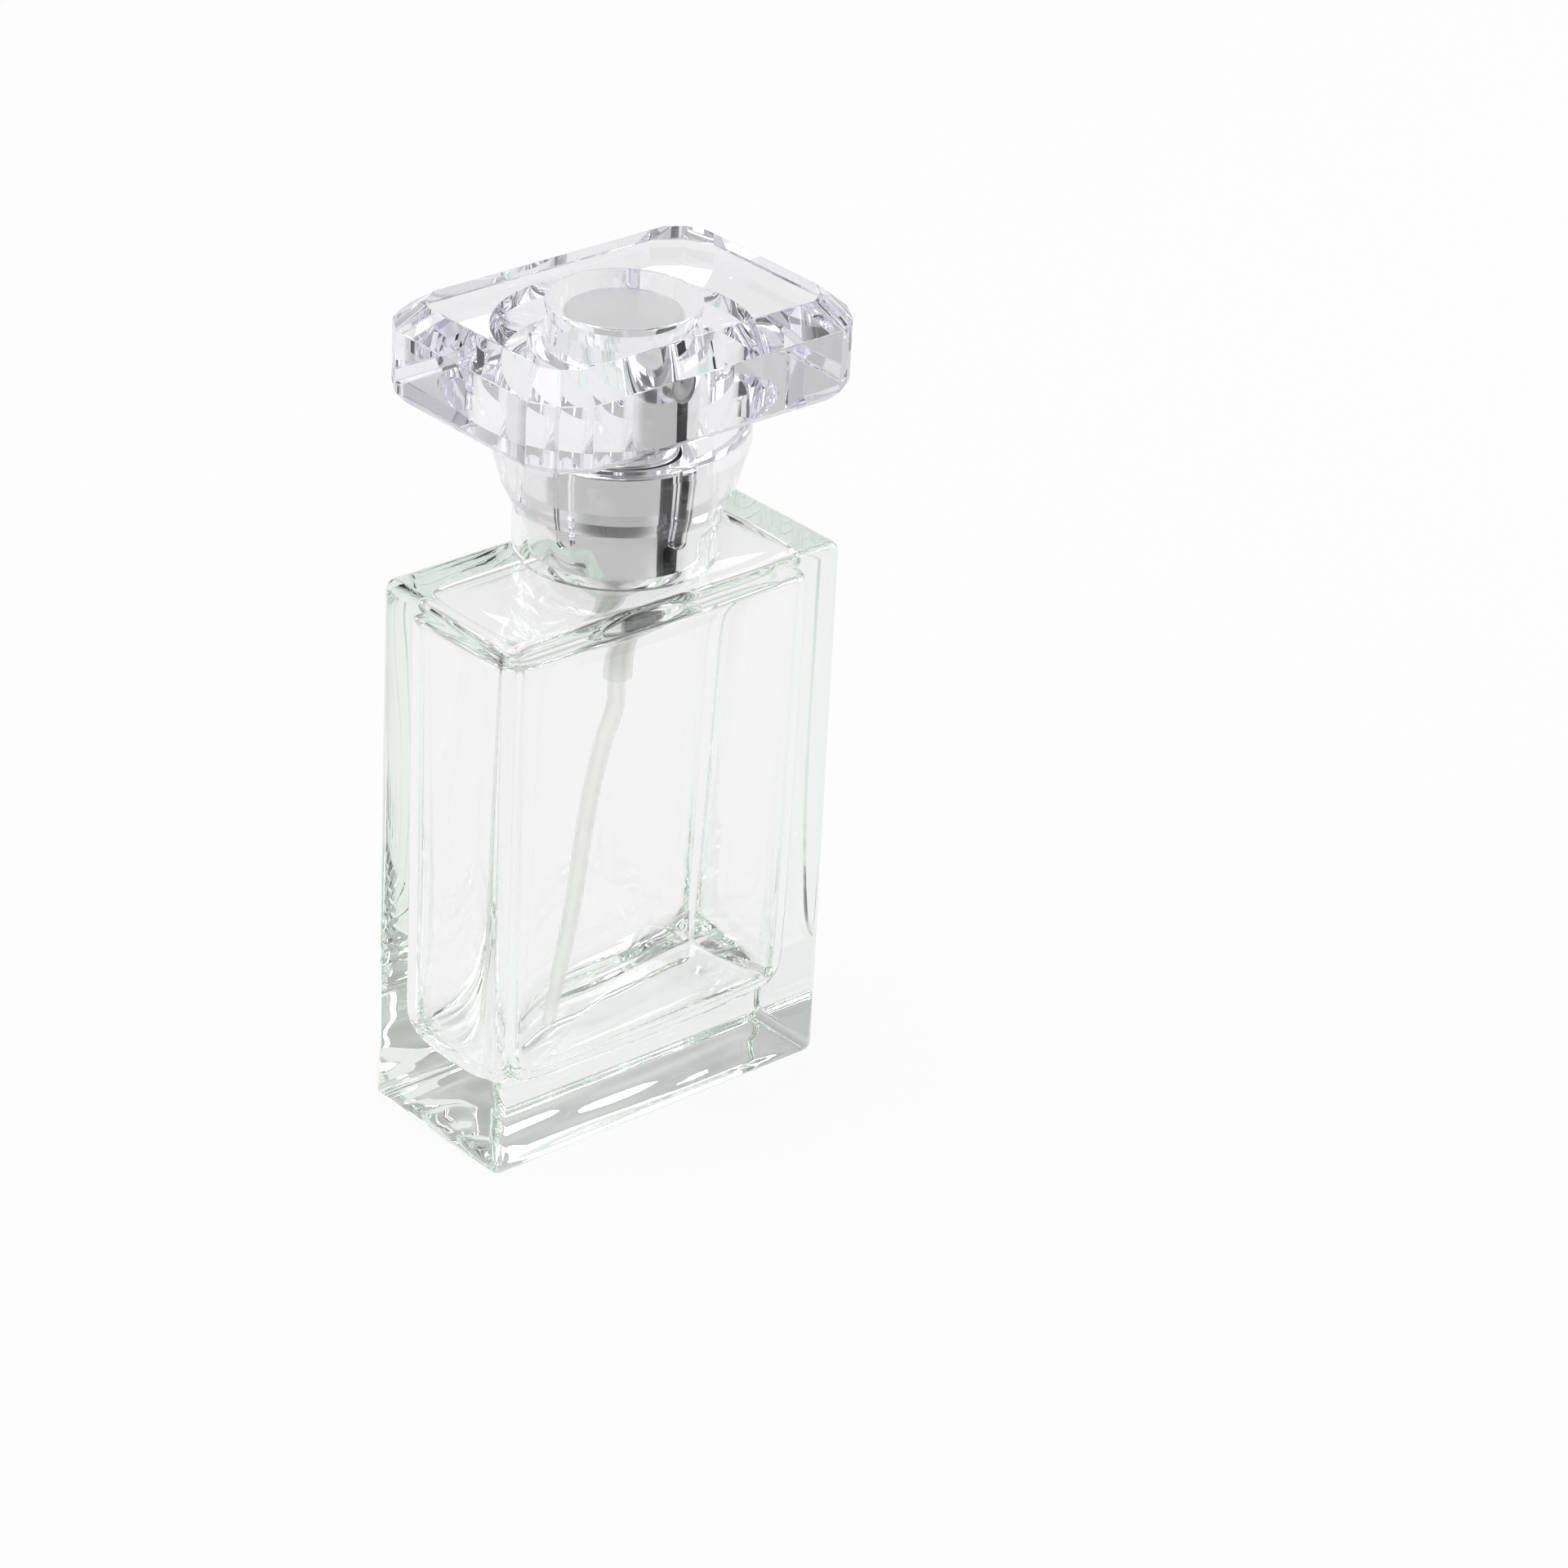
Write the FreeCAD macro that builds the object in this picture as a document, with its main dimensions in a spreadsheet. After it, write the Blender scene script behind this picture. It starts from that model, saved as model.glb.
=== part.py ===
"""Clear glass spray bottle with a crimped fine-mist pump and a cut clear cap, in millimetres.

The origin is the middle of the flat base, +Z is up and the wide front face looks along -Y.
"""
import FreeCAD, Part
import math
import os

import Sketcher

DRIVING_SIZES = {
    # glass bottle
    "body_width": 43.0,
    "body_depth": 20.4,
    "shoulder_height": 59.8,
    "body_edge_radius": 1.2,
    "base_thickness": 8.5,
    "shoulder_thickness": 2.8,
    "end_wall": 3.2,
    "face_wall": 2.6,
    "cavity_floor_radius": 6.5,
    "cavity_roof_radius": 4.5,
    "cavity_edge_radius": 3.6,
    # crimp neck
    "neck_height": 6.0,
    "neck_radius": 6.3,
    "neck_bore_radius": 4.7,
    "neck_root_radius": 1.2,
    "bead_radius": 7.4,
    "bead_height": 2.9,
    "bead_edge_radius": 0.5,
    # seal, ferrule and collar
    "gasket_thickness": 0.8,
    "ferrule_sheet": 0.4,
    "ferrule_lip": 1.2,
    "crimp_gap": 0.1,
    "collar_gap": 2.0,
    "collar_sheet": 0.38,
    "collar_overlap": 1.2,
    "collar_edge_radius": 0.3,
    "liner_wall": 0.44,
    "liner_shelf": 0.66,
    # pump housing and its valve
    "flange_radius": 6.9,
    "flange_thickness": 0.9,
    "barrel_radius": 3.9,
    "barrel_bore_radius": 2.6,
    "barrel_length": 11.1,
    "barrel_taper": 2.0,
    "barrel_floor": 1.1,
    "barrel_rise": 2.1,
    "turret_bore_radius": 4.5,
    "tail_radius": 1.6,
    "tail_length": 6.2,
    "tube_socket_depth": 5.7,
    "ball_radius": 1.1,
    "ball_side_gap": 0.25,
    "ball_seat_gap": 0.04,
    "inlet_radius": 0.75,
    # closure, piston, stem and spring
    "closure_plug_radius": 3.35,
    "closure_plug_length": 2.6,
    "closure_flange": 1.5,
    "stem_radius": 1.7,
    "stem_bore_radius": 0.6,
    "stem_foot_radius": 2.3,
    "stem_foot_height": 0.7,
    "piston_length": 2.6,
    "piston_lip": 0.5,
    "piston_waist": 0.25,
    "piston_gap": 0.15,
    "spring_wire_radius": 0.225,
    "spring_mean_radius": 1.95,
    "spring_turns": 5.5,
    "seat_gap": 0.05,
    # dip tube
    "tube_radius": 1.0,
    "tube_wall": 0.35,
    "tube_straight": 2.8,
    "tube_floor_gap": 0.9,
    # actuator
    "stroke": 3.8,
    "stroke_margin": 0.4,
    "actuator_radius": 6.0,
    "actuator_height": 14.0,
    "actuator_sheet": 0.4,
    "actuator_edge_radius": 0.35,
    "actuator_side_gap": 0.2,
    "stem_socket_depth": 3.8,
    "core_groove": 1.6,
    "core_groove_depth": 3.0,
    "nozzle_radius": 1.7,
    "nozzle_length": 2.4,
    "nozzle_drop": 4.0,
    "nozzle_dish": 0.6,
    "orifice_radius": 0.2,
    "channel_radius": 0.45,
    "cross_channel_radius": 0.35,
    # cap
    "skirt_gap": 1.4,
    "skirt_radius": 10.4,
    "skirt_wall": 1.0,
    "flare_start": 5.2,
    "flare_ridge_radius": 11.75,
    "flare_ridge_rise": 2.5,
    "flare_top_radius": 13.1,
    "flare_top_rise": 4.9,
    "flare_sweep_radius": 6.0,
    "girdle_width": 40.4,
    "girdle_depth": 29.4,
    "girdle_height": 6.55,
    "girdle_corner": 4.6,
    "crown_height": 2.35,
    "crown_run_x": 2.7,
    "crown_run_y": 3.2,
    "table_corner": 3.0,
    "bevel_height": 0.9,
    "bevel_run": 0.8,
    "cap_bore_radius": 7.8,
    "cap_roof": 0.9,
    "cap_top_gap": 1.25,
    "cap_step_gap": 0.6,
    "rib_width": 1.45,
    "rib_start": 3.5,
    "rib_root": 0.3,
    # fits
    "fit": 0.04,
    "slide_fit": 0.07,
}
RIB_COUNT = 5
# A cut corner has two facets: its middle point lies this share of the cut in from the sharp corner.
CORNER_SHARE = 0.38
# Route of the dip tube in the XZ plane: sideways reach, and share of the way up from its foot to its bend.
TUBE_ROUTE = [(0.0, 1.0), (-1.9, 0.876), (-4.2, 0.607), (-5.6, 0.298), (-9.0, 0.0)]
# Each bend of the tube takes up to this share of the straight runs beside it.
ROUND_SHARE = 0.45
# The spring's helix is drawn as pairs of arcs, each pair this part of a turn.
SPRING_STEP_TURN = 0.25
GAP_SAMPLES_PER_TURN = 48
# The cavity's edge rounding stays under this share of its corner rounding.
EDGE_LIMIT_SHARE = 0.9
NEAR = 1e-4


class Size:
    """A length that keeps its number together with the sheet expression it comes from."""

    def __init__(self, value, text):
        self.value = value
        self.text = text

    def __add__(self, other):
        other = as_size(other)
        return Size(self.value + other.value, f"({self.text} + {other.text})")

    def __sub__(self, other):
        other = as_size(other)
        return Size(self.value - other.value, f"({self.text} - {other.text})")

    def __neg__(self):
        return Size(-self.value, f"(0 - {self.text})")

    def __mul__(self, factor):
        return Size(self.value * factor, f"({self.text} * {factor})")

    def __truediv__(self, factor):
        return Size(self.value / factor, f"({self.text} / {factor})")


def as_size(length):
    return length if isinstance(length, Size) else Size(float(length), str(length))


def smaller(first, second):
    return Size(min(first.value, second.value), f"min({first.text}; {second.text})")


class SizeTable:
    """The sheet's cells by name."""

    def __init__(self, sheet):
        for row, (name, number) in enumerate(DRIVING_SIZES.items(), start=1):
            sheet.set(f"A{row}", name)
            sheet.set(f"B{row}", str(number))
            sheet.setAlias(f"B{row}", name)
            setattr(self, name, Size(number, f"{sheet.Name}.{name}"))


doc = FreeCAD.newDocument("spray_bottle")
sizes = SizeTable(doc.addObject("Spreadsheet::Sheet", "Sizes"))
doc.recompute()

# Heights that several pieces share, stacked up from the shoulder.
NECK_TOP = sizes.shoulder_height + sizes.neck_height
BEAD_BOTTOM = NECK_TOP - sizes.bead_height
FLANGE_BOTTOM = NECK_TOP + sizes.gasket_thickness
FLANGE_TOP = FLANGE_BOTTOM + sizes.flange_thickness
FERRULE_TOP = FLANGE_TOP + sizes.ferrule_sheet
BARREL_TOP = FLANGE_TOP + sizes.barrel_rise
CLOSURE_TOP = BARREL_TOP + sizes.closure_flange
CLOSURE_BOTTOM = BARREL_TOP - sizes.closure_plug_length
TURRET_TOP = CLOSURE_TOP + sizes.fit + sizes.ferrule_sheet
BARREL_BOTTOM = FLANGE_BOTTOM - sizes.barrel_length
BARREL_FLOOR = BARREL_BOTTOM + sizes.barrel_floor
TAIL_TOP = BARREL_BOTTOM - sizes.barrel_taper
TAIL_BOTTOM = TAIL_TOP - sizes.tail_length
TUBE_STOP = TAIL_BOTTOM + sizes.tube_socket_depth
PISTON_TOP = CLOSURE_BOTTOM - sizes.piston_gap
PISTON_BOTTOM = PISTON_TOP - sizes.piston_length
STEM_BOTTOM = PISTON_BOTTOM - sizes.stem_foot_height
SHELL_BOTTOM = FERRULE_TOP + sizes.stroke + sizes.stroke_margin
SHELL_TOP = SHELL_BOTTOM + sizes.actuator_height
CORE_BOTTOM = TURRET_TOP + sizes.stroke + sizes.stroke_margin
CORE_TOP = SHELL_TOP - sizes.actuator_sheet
STEM_TOP = CORE_BOTTOM + sizes.stem_socket_depth
NOZZLE_HEIGHT = SHELL_TOP - sizes.nozzle_drop
COLLAR_BOTTOM = sizes.shoulder_height + sizes.collar_gap
COLLAR_TOP = SHELL_BOTTOM + sizes.collar_overlap
SKIRT_BOTTOM = sizes.shoulder_height + sizes.skirt_gap
BORE_ROOF = SHELL_TOP + sizes.cap_top_gap
TABLE_HEIGHT = BORE_ROOF + sizes.cap_roof
GIRDLE_TOP = TABLE_HEIGHT - sizes.crown_height
GIRDLE_BOTTOM = GIRDLE_TOP - sizes.girdle_height
HEAD_BOTTOM = GIRDLE_BOTTOM - sizes.bevel_height

# Radii that follow from a neighbour and a fit.
FERRULE_INNER = sizes.bead_radius + sizes.crimp_gap
FERRULE_OUTER = FERRULE_INNER + sizes.ferrule_sheet
LINER_INNER = FERRULE_OUTER + sizes.fit
LINER_OUTER = LINER_INNER + sizes.liner_wall
COLLAR_INNER = LINER_OUTER + sizes.fit
COLLAR_OUTER = COLLAR_INNER + sizes.collar_sheet
SHELL_INNER = sizes.actuator_radius - sizes.actuator_sheet
CORE_RADIUS = SHELL_INNER - sizes.fit
SKIRT_INNER = sizes.skirt_radius - sizes.skirt_wall
NOZZLE_SEAT = CORE_RADIUS - sizes.nozzle_length


def new_body(label):
    body = doc.addObject("PartDesign::Body", label)
    body.Label = label
    return body


def origin_feature(body, role):
    return next(feature for feature in body.Origin.OriginFeatures if feature.Role == role)


def new_sketch(body, role, name, offset=None):
    """Start a sketch on one of the body's own origin planes, moved along its normal by offset."""
    sketch = body.newObject("Sketcher::SketchObject", name)
    sketch.AttachmentSupport = [(origin_feature(body, role), "")]
    sketch.MapMode = "FlatFace"
    if offset is not None:
        place = FreeCAD.Vector(0, 0, offset.value)
        sketch.AttachmentOffset = FreeCAD.Placement(place, FreeCAD.Rotation())
        sketch.setExpression("AttachmentOffset.Base.z", offset.text)
    return sketch


def hold(sketch, constraint, size):
    index = sketch.addConstraint(constraint)
    sketch.setExpression(f"Constraints[{index}]", size.text)


def hold_point(sketch, geometry, end, x, y):
    """Hold one sketch point at its signed distances from the sketch's origin."""
    for kind, axis, place in (("DistanceX", -2, x), ("DistanceY", -1, y)):
        place = as_size(place)
        if place.value == 0:
            sketch.addConstraint(Sketcher.Constraint("PointOnObject", geometry, end, axis))
        elif place.value > 0:
            hold(sketch, Sketcher.Constraint(kind, -1, 1, geometry, end, place.value), place)
        else:
            hold(sketch, Sketcher.Constraint(kind, geometry, end, -1, 1, -place.value), -place)


def draw_outline(sketch, points):
    """Close straight lines through the points."""
    corners = [FreeCAD.Vector(as_size(x).value, as_size(y).value, 0) for x, y in points]
    following = corners[1:] + corners[:1]
    for start, end in zip(corners, following):
        sketch.addGeometry(Part.LineSegment(start, end), False)
    count = len(points)
    for line, (x, y) in enumerate(points):
        sketch.addConstraint(Sketcher.Constraint("Coincident", line, 2, (line + 1) % count, 1))
        hold_point(sketch, line, 1, x, y)


def draw_circle(sketch, x, y, radius):
    centre = FreeCAD.Vector(as_size(x).value, as_size(y).value, 0)
    circle = sketch.addGeometry(Part.Circle(centre, FreeCAD.Vector(0, 0, 1), radius.value), False)
    hold_point(sketch, circle, 3, x, y)
    hold(sketch, Sketcher.Constraint("Radius", circle, radius.value), radius)


def turn(body, profile, name, kind="Revolution"):
    """Turn a closed outline of (radius, height) points about Z, as added material or as a cut."""
    sketch = new_sketch(body, "XZ_Plane", name + "_profile")
    draw_outline(sketch, profile)
    feature = body.newObject("PartDesign::" + kind, name)
    feature.Profile = sketch
    feature.ReferenceAxis = (sketch, ["V_Axis"])
    feature.Angle = 360
    doc.recompute()
    return feature


def turned_piece(label, profile):
    body = new_body(label)
    turn(body, profile, label + "_turned")
    return body


def tube_profile(inner, outer, low, high):
    return [(inner, low), (outer, low), (outer, high), (inner, high)]


def pad(body, sketch, name, length, both_ways=False):
    feature = body.newObject("PartDesign::Pad", name)
    feature.Profile = sketch
    feature.setExpression("Length", length.text)
    feature.Midplane = both_ways
    doc.recompute()
    return feature


def cut_forward(body, sketch, name):
    """Cut the sketch through everything that lies in front of it, towards -Y."""
    before = body.Shape.Volume
    feature = body.newObject("PartDesign::Pocket", name)
    feature.Profile = sketch
    feature.Type = "ThroughAll"
    feature.Reversed = True
    doc.recompute()
    if body.Shape.Volume >= before:
        raise RuntimeError(name + " cuts nothing")


def round_edges(body, name, radius, wanted):
    """Fillet the edges of the body's tip that the test picks."""
    tip = body.Tip
    names = [f"Edge{i}" for i, edge in enumerate(tip.Shape.Edges, start=1) if wanted(edge)]
    if not names:
        raise RuntimeError(name + " finds no edges")
    feature = body.newObject("PartDesign::Fillet", name)
    feature.Base = (tip, names)
    feature.setExpression("Radius", radius.text)
    doc.recompute()


def near(first, second):
    return abs(first - second) < NEAR


def is_ring(edge, radius, height):
    """True for a whole or part circle of this radius round Z at this height."""
    if edge.Degenerated or not isinstance(edge.Curve, Part.Circle):
        return False
    centre = edge.Curve.Center
    on_axis = near(math.hypot(centre.x, centre.y), 0)
    return on_axis and near(centre.z, height.value) and near(edge.Curve.Radius, radius.value)


def box_outline(half_x, half_y):
    return [(-half_x, -half_y), (half_x, -half_y), (half_x, half_y), (-half_x, half_y)]


def make_glass_bottle():
    body = new_body("glass_bottle")
    footprint = new_sketch(body, "XY_Plane", "bottle_footprint")
    draw_outline(footprint, box_outline(sizes.body_width / 2, sizes.body_depth / 2))
    pad(body, footprint, "bottle_block", sizes.shoulder_height)
    round_edges(body, "bottle_edges", sizes.body_edge_radius, lambda edge: True)
    hollow_out(body)
    add_neck(body)
    return body


def hollow_out(body):
    """Cut the rounded cavity, which leaves a heavy floor and thick walls."""
    half_width = sizes.body_width / 2 - sizes.end_wall
    half_depth = sizes.body_depth / 2 - sizes.face_wall
    low = sizes.base_thickness
    high = sizes.shoulder_height - sizes.shoulder_thickness
    front = new_sketch(body, "XZ_Plane", "cavity_front")
    draw_outline(front, [(-half_width, low), (half_width, low), (half_width, high), (-half_width, high)])
    cavity = body.newObject("PartDesign::Pocket", "cavity")
    cavity.Profile = front
    cavity.setExpression("Length", (half_depth * 2).text)
    cavity.Midplane = True
    doc.recompute()

    def corner_at(height):
        def test(edge):
            middle = edge.CenterOfMass
            at_end = near(middle.y, 0) and near(abs(middle.x), half_width.value)
            return at_end and near(middle.z, height.value)
        return test

    def on_cavity_face(edge):
        box = edge.BoundBox
        inside = max(abs(box.XMin), abs(box.XMax)) <= half_width.value + NEAR
        flat = near(box.YLength, 0) and near(abs(box.YMin), half_depth.value)
        return flat and inside and box.ZMin > low.value - NEAR

    round_edges(body, "cavity_floor_corners", sizes.cavity_floor_radius, corner_at(low))
    round_edges(body, "cavity_roof_corners", sizes.cavity_roof_radius, corner_at(high))
    tightest = smaller(sizes.cavity_floor_radius, sizes.cavity_roof_radius)
    edge_limit = tightest * EDGE_LIMIT_SHARE
    round_edges(body, "cavity_edges", smaller(sizes.cavity_edge_radius, edge_limit), on_cavity_face)


def add_neck(body):
    """Add the crimp neck with its bead, then open its bore into the cavity."""
    shoulder = sizes.shoulder_height
    below = shoulder - sizes.shoulder_thickness / 2
    turn(body, [
        (sizes.neck_bore_radius, below),
        (sizes.neck_radius, below),
        (sizes.neck_radius, BEAD_BOTTOM),
        (sizes.bead_radius, BEAD_BOTTOM),
        (sizes.bead_radius, NECK_TOP),
        (sizes.neck_bore_radius, NECK_TOP),
    ], "neck")
    cavity_roof = shoulder - sizes.shoulder_thickness
    bore_start = cavity_roof - sizes.shoulder_thickness / 2
    turn(body, tube_profile(0, sizes.neck_bore_radius, bore_start, NECK_TOP), "neck_bore", "Groove")
    round_edges(body, "neck_root", sizes.neck_root_radius,
                lambda edge: is_ring(edge, sizes.neck_radius, shoulder))
    rims = (NECK_TOP, BEAD_BOTTOM)
    round_edges(body, "bead_rims", sizes.bead_edge_radius,
                lambda edge: any(is_ring(edge, sizes.bead_radius, rim) for rim in rims))


def make_neck_gasket():
    """A flat ring that the pump's flange presses on the neck's lip."""
    inner = sizes.barrel_radius + sizes.fit
    outer = sizes.bead_radius - sizes.bead_edge_radius
    return turned_piece("neck_gasket", tube_profile(inner, outer, NECK_TOP, FLANGE_BOTTOM))


def make_crimp_ferrule():
    """A thin metal cup: its skirt turns in under the bead, its turret grips the closure."""
    turret_inner = sizes.turret_bore_radius
    turret_outer = turret_inner + sizes.ferrule_sheet
    lip_top = BEAD_BOTTOM - sizes.crimp_gap
    lip_bottom = lip_top - sizes.ferrule_sheet
    lip_inner = FERRULE_OUTER - sizes.ferrule_lip
    return turned_piece("crimp_ferrule", [
        (lip_inner, lip_bottom),
        (FERRULE_OUTER, lip_bottom),
        (FERRULE_OUTER, FERRULE_TOP),
        (turret_outer, FERRULE_TOP),
        (turret_outer, TURRET_TOP),
        (turret_inner - sizes.ferrule_sheet, TURRET_TOP),
        (turret_inner - sizes.ferrule_sheet, TURRET_TOP - sizes.ferrule_sheet),
        (turret_inner, TURRET_TOP - sizes.ferrule_sheet),
        (turret_inner, FLANGE_TOP),
        (FERRULE_INNER, FLANGE_TOP),
        (FERRULE_INNER, lip_top),
        (lip_inner, lip_top),
    ])


def make_collar_liner():
    """A plastic sleeve pushed over the ferrule, with a shelf that rests on the ferrule's top."""
    shelf_bottom = FERRULE_TOP + sizes.fit
    shelf_top = shelf_bottom + sizes.liner_shelf
    shelf_inner = sizes.actuator_radius + sizes.stroke_margin
    top = COLLAR_TOP - sizes.collar_sheet - sizes.fit
    return turned_piece("collar_liner", [
        (LINER_INNER, COLLAR_BOTTOM),
        (LINER_OUTER, COLLAR_BOTTOM),
        (LINER_OUTER, top),
        (LINER_INNER, top),
        (LINER_INNER, shelf_top),
        (shelf_inner, shelf_top),
        (shelf_inner, shelf_bottom),
        (LINER_INNER, shelf_bottom),
    ])


def make_collar_shell():
    """A polished drawn cup, open below, with a round window for the actuator."""
    window = sizes.actuator_radius + sizes.actuator_side_gap
    body = turned_piece("collar_shell", [
        (COLLAR_INNER, COLLAR_BOTTOM),
        (COLLAR_OUTER, COLLAR_BOTTOM),
        (COLLAR_OUTER, COLLAR_TOP),
        (window, COLLAR_TOP),
        (window, COLLAR_TOP - sizes.collar_sheet),
        (COLLAR_INNER, COLLAR_TOP - sizes.collar_sheet),
    ])
    round_edges(body, "collar_top_edge", sizes.collar_edge_radius,
                lambda edge: is_ring(edge, COLLAR_OUTER, COLLAR_TOP))
    return body


def make_pump_body():
    """The housing: a flange on the gasket, a bored barrel, the ball's seat and a tail for the tube."""
    chamber = sizes.ball_radius + sizes.ball_side_gap
    socket = sizes.tube_radius + sizes.fit / 2
    seat_low = TAIL_TOP + sizes.barrel_taper / 2
    seat_high = seat_low + chamber - sizes.inlet_radius
    return turned_piece("pump_body", [
        (socket, TAIL_BOTTOM),
        (sizes.tail_radius, TAIL_BOTTOM),
        (sizes.tail_radius, TAIL_TOP),
        (sizes.barrel_radius, BARREL_BOTTOM),
        (sizes.barrel_radius, FLANGE_BOTTOM),
        (sizes.flange_radius, FLANGE_BOTTOM),
        (sizes.flange_radius, FLANGE_TOP),
        (sizes.turret_bore_radius - sizes.fit, FLANGE_TOP),
        (sizes.turret_bore_radius - sizes.fit, BARREL_TOP),
        (sizes.closure_plug_radius + sizes.fit, BARREL_TOP),
        (sizes.closure_plug_radius + sizes.fit, CLOSURE_BOTTOM),
        (sizes.barrel_bore_radius, CLOSURE_BOTTOM),
        (sizes.barrel_bore_radius, BARREL_FLOOR),
        (chamber, BARREL_FLOOR),
        (chamber, seat_high),
        (sizes.inlet_radius, seat_low),
        (sizes.inlet_radius, TUBE_STOP),
        (socket, TUBE_STOP),
    ])


def make_pump_closure():
    """A bush that closes the barrel and guides the stem."""
    guide = sizes.stem_radius + sizes.slide_fit
    return turned_piece("pump_closure", [
        (guide, CLOSURE_BOTTOM),
        (sizes.closure_plug_radius, CLOSURE_BOTTOM),
        (sizes.closure_plug_radius, BARREL_TOP),
        (sizes.turret_bore_radius - sizes.fit, BARREL_TOP),
        (sizes.turret_bore_radius - sizes.fit, CLOSURE_TOP),
        (guide, CLOSURE_TOP),
    ])


def make_inlet_ball():
    """A ball that closes the inlet by resting on its 45 degree seat."""
    seat_low = TAIL_TOP + sizes.barrel_taper / 2
    reach = (sizes.ball_radius + sizes.ball_seat_gap) * round(math.sqrt(2), 6)
    height = seat_low - sizes.inlet_radius + reach
    ball = doc.addObject("Part::Sphere", "inlet_ball")
    ball.Label = "inlet_ball"
    ball.setExpression("Radius", sizes.ball_radius.text)
    ball.Placement = FreeCAD.Placement(FreeCAD.Vector(0, 0, height.value), FreeCAD.Rotation())
    ball.setExpression("Placement.Base.z", height.text)
    return ball


def make_piston():
    """A soft ring round the stem, with a sealing lip at each end."""
    inner = sizes.stem_radius + sizes.fit / 2
    lip = sizes.barrel_bore_radius - sizes.slide_fit
    waist = lip - sizes.piston_waist
    return turned_piece("piston", [
        (inner, PISTON_BOTTOM),
        (lip, PISTON_BOTTOM),
        (lip, PISTON_BOTTOM + sizes.piston_lip),
        (waist, PISTON_BOTTOM + sizes.piston_lip * 2),
        (waist, PISTON_TOP - sizes.piston_lip * 2),
        (lip, PISTON_TOP - sizes.piston_lip),
        (lip, PISTON_TOP),
        (inner, PISTON_TOP),
    ])


def make_stem():
    """A hollow push rod whose foot carries the piston and bears on the spring."""
    return turned_piece("stem", [
        (0, STEM_BOTTOM),
        (sizes.stem_foot_radius, STEM_BOTTOM),
        (sizes.stem_foot_radius, PISTON_BOTTOM),
        (sizes.stem_radius, PISTON_BOTTOM),
        (sizes.stem_radius, STEM_TOP),
        (sizes.stem_bore_radius, STEM_TOP),
        (sizes.stem_bore_radius, PISTON_TOP),
        (0, PISTON_TOP),
    ])


def arc_rise(bend):
    """How far an arc's middle lies from its chord towards the corner it rounds, as a share."""
    return math.tan(bend / 4) / math.tan(bend / 2)


def joined_arcs(start, start_way, end, end_way):
    """Two arcs that leave start along start_way, meet smoothly and reach end along end_way."""
    across = end - start
    ways = start_way + end_way
    spread = 2 * (1 - start_way.dot(end_way))
    along = across.dot(ways)
    reach = (math.sqrt(along ** 2 + spread * across.dot(across)) - along) / spread
    first_corner = start + start_way * reach
    last_corner = end - end_way * reach
    meeting = (first_corner + last_corner) / 2
    arcs = []
    for low, corner, high in ((start, first_corner, meeting), (meeting, last_corner, end)):
        chord_middle = (low + high) / 2
        bend = (corner - low).getAngle(high - corner)
        arc_middle = chord_middle + (corner - chord_middle) * arc_rise(bend)
        arcs.append(Part.Arc(low, arc_middle, high).toShape())
    return arcs


def make_pump_spring():
    """An open-wound compression spring between the barrel's floor and the stem's foot."""
    wire = sizes.spring_wire_radius.value
    mean = sizes.spring_mean_radius.value
    turns = sizes.spring_turns.value
    inset = wire + sizes.seat_gap.value
    low = BARREL_FLOOR.value + inset
    pitch = (STEM_BOTTOM.value - inset - low) / turns

    def point(turn_number):
        angle = 2 * math.pi * turn_number
        return FreeCAD.Vector(mean * math.cos(angle), mean * math.sin(angle), low + pitch * turn_number)

    def way(turn_number):
        angle = 2 * math.pi * turn_number
        sweep = 2 * math.pi * mean
        return FreeCAD.Vector(-sweep * math.sin(angle), sweep * math.cos(angle), pitch).normalize()

    steps = round(turns / SPRING_STEP_TURN)
    marks = [turns * step / steps for step in range(steps + 1)]
    edges = []
    for before, after in zip(marks, marks[1:]):
        edges += joined_arcs(point(before), way(before), point(after), way(after))
    section = Part.Wire(Part.Circle(point(0), way(0), wire).toShape())
    spring = doc.addObject("Part::Feature", "pump_spring")
    spring.Label = "pump_spring"
    spring.Shape = Part.Wire(edges).makePipeShell([section], True, False)
    spring.Placement = FreeCAD.Placement()

    count = round(turns * GAP_SAMPLES_PER_TURN)
    samples = [point(turns * i / count) for i in range(count + 1)]
    half_turn = GAP_SAMPLES_PER_TURN // 2
    apart = min((samples[j] - samples[i]).Length
                for i in range(count + 1) for j in range(i + half_turn, count + 1))
    print(f"pump_spring: least gap between turns {apart - 2 * wire:.2f} mm")
    return spring


def draw_route(sketch, points):
    """Draw straight runs joined by arcs as large as the runs allow, and return the whole length."""
    length = 0.0
    run_start = points[0]
    for before, corner, after in zip(points, points[1:], points[2:]):
        arriving = (corner - before).normalize()
        leaving = (after - corner).normalize()
        trim = ROUND_SHARE * min((corner - before).Length, (after - corner).Length)
        bend = arriving.getAngle(leaving)
        radius = trim / math.tan(bend / 2)
        arc_start = corner - arriving * trim
        arc_end = corner + leaving * trim
        chord_middle = (arc_start + arc_end) / 2
        arc_middle = chord_middle + (corner - chord_middle) * arc_rise(bend)
        sketch.addGeometry(Part.LineSegment(run_start, arc_start), False)
        sketch.addGeometry(Part.Arc(arc_start, arc_middle, arc_end), False)
        length += (arc_start - run_start).Length + radius * bend
        run_start = arc_end
        print(f"dip_tube: bend radius {radius:.1f} mm")
    sketch.addGeometry(Part.LineSegment(run_start, points[-1]), False)
    return length + (points[-1] - run_start).Length


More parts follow.
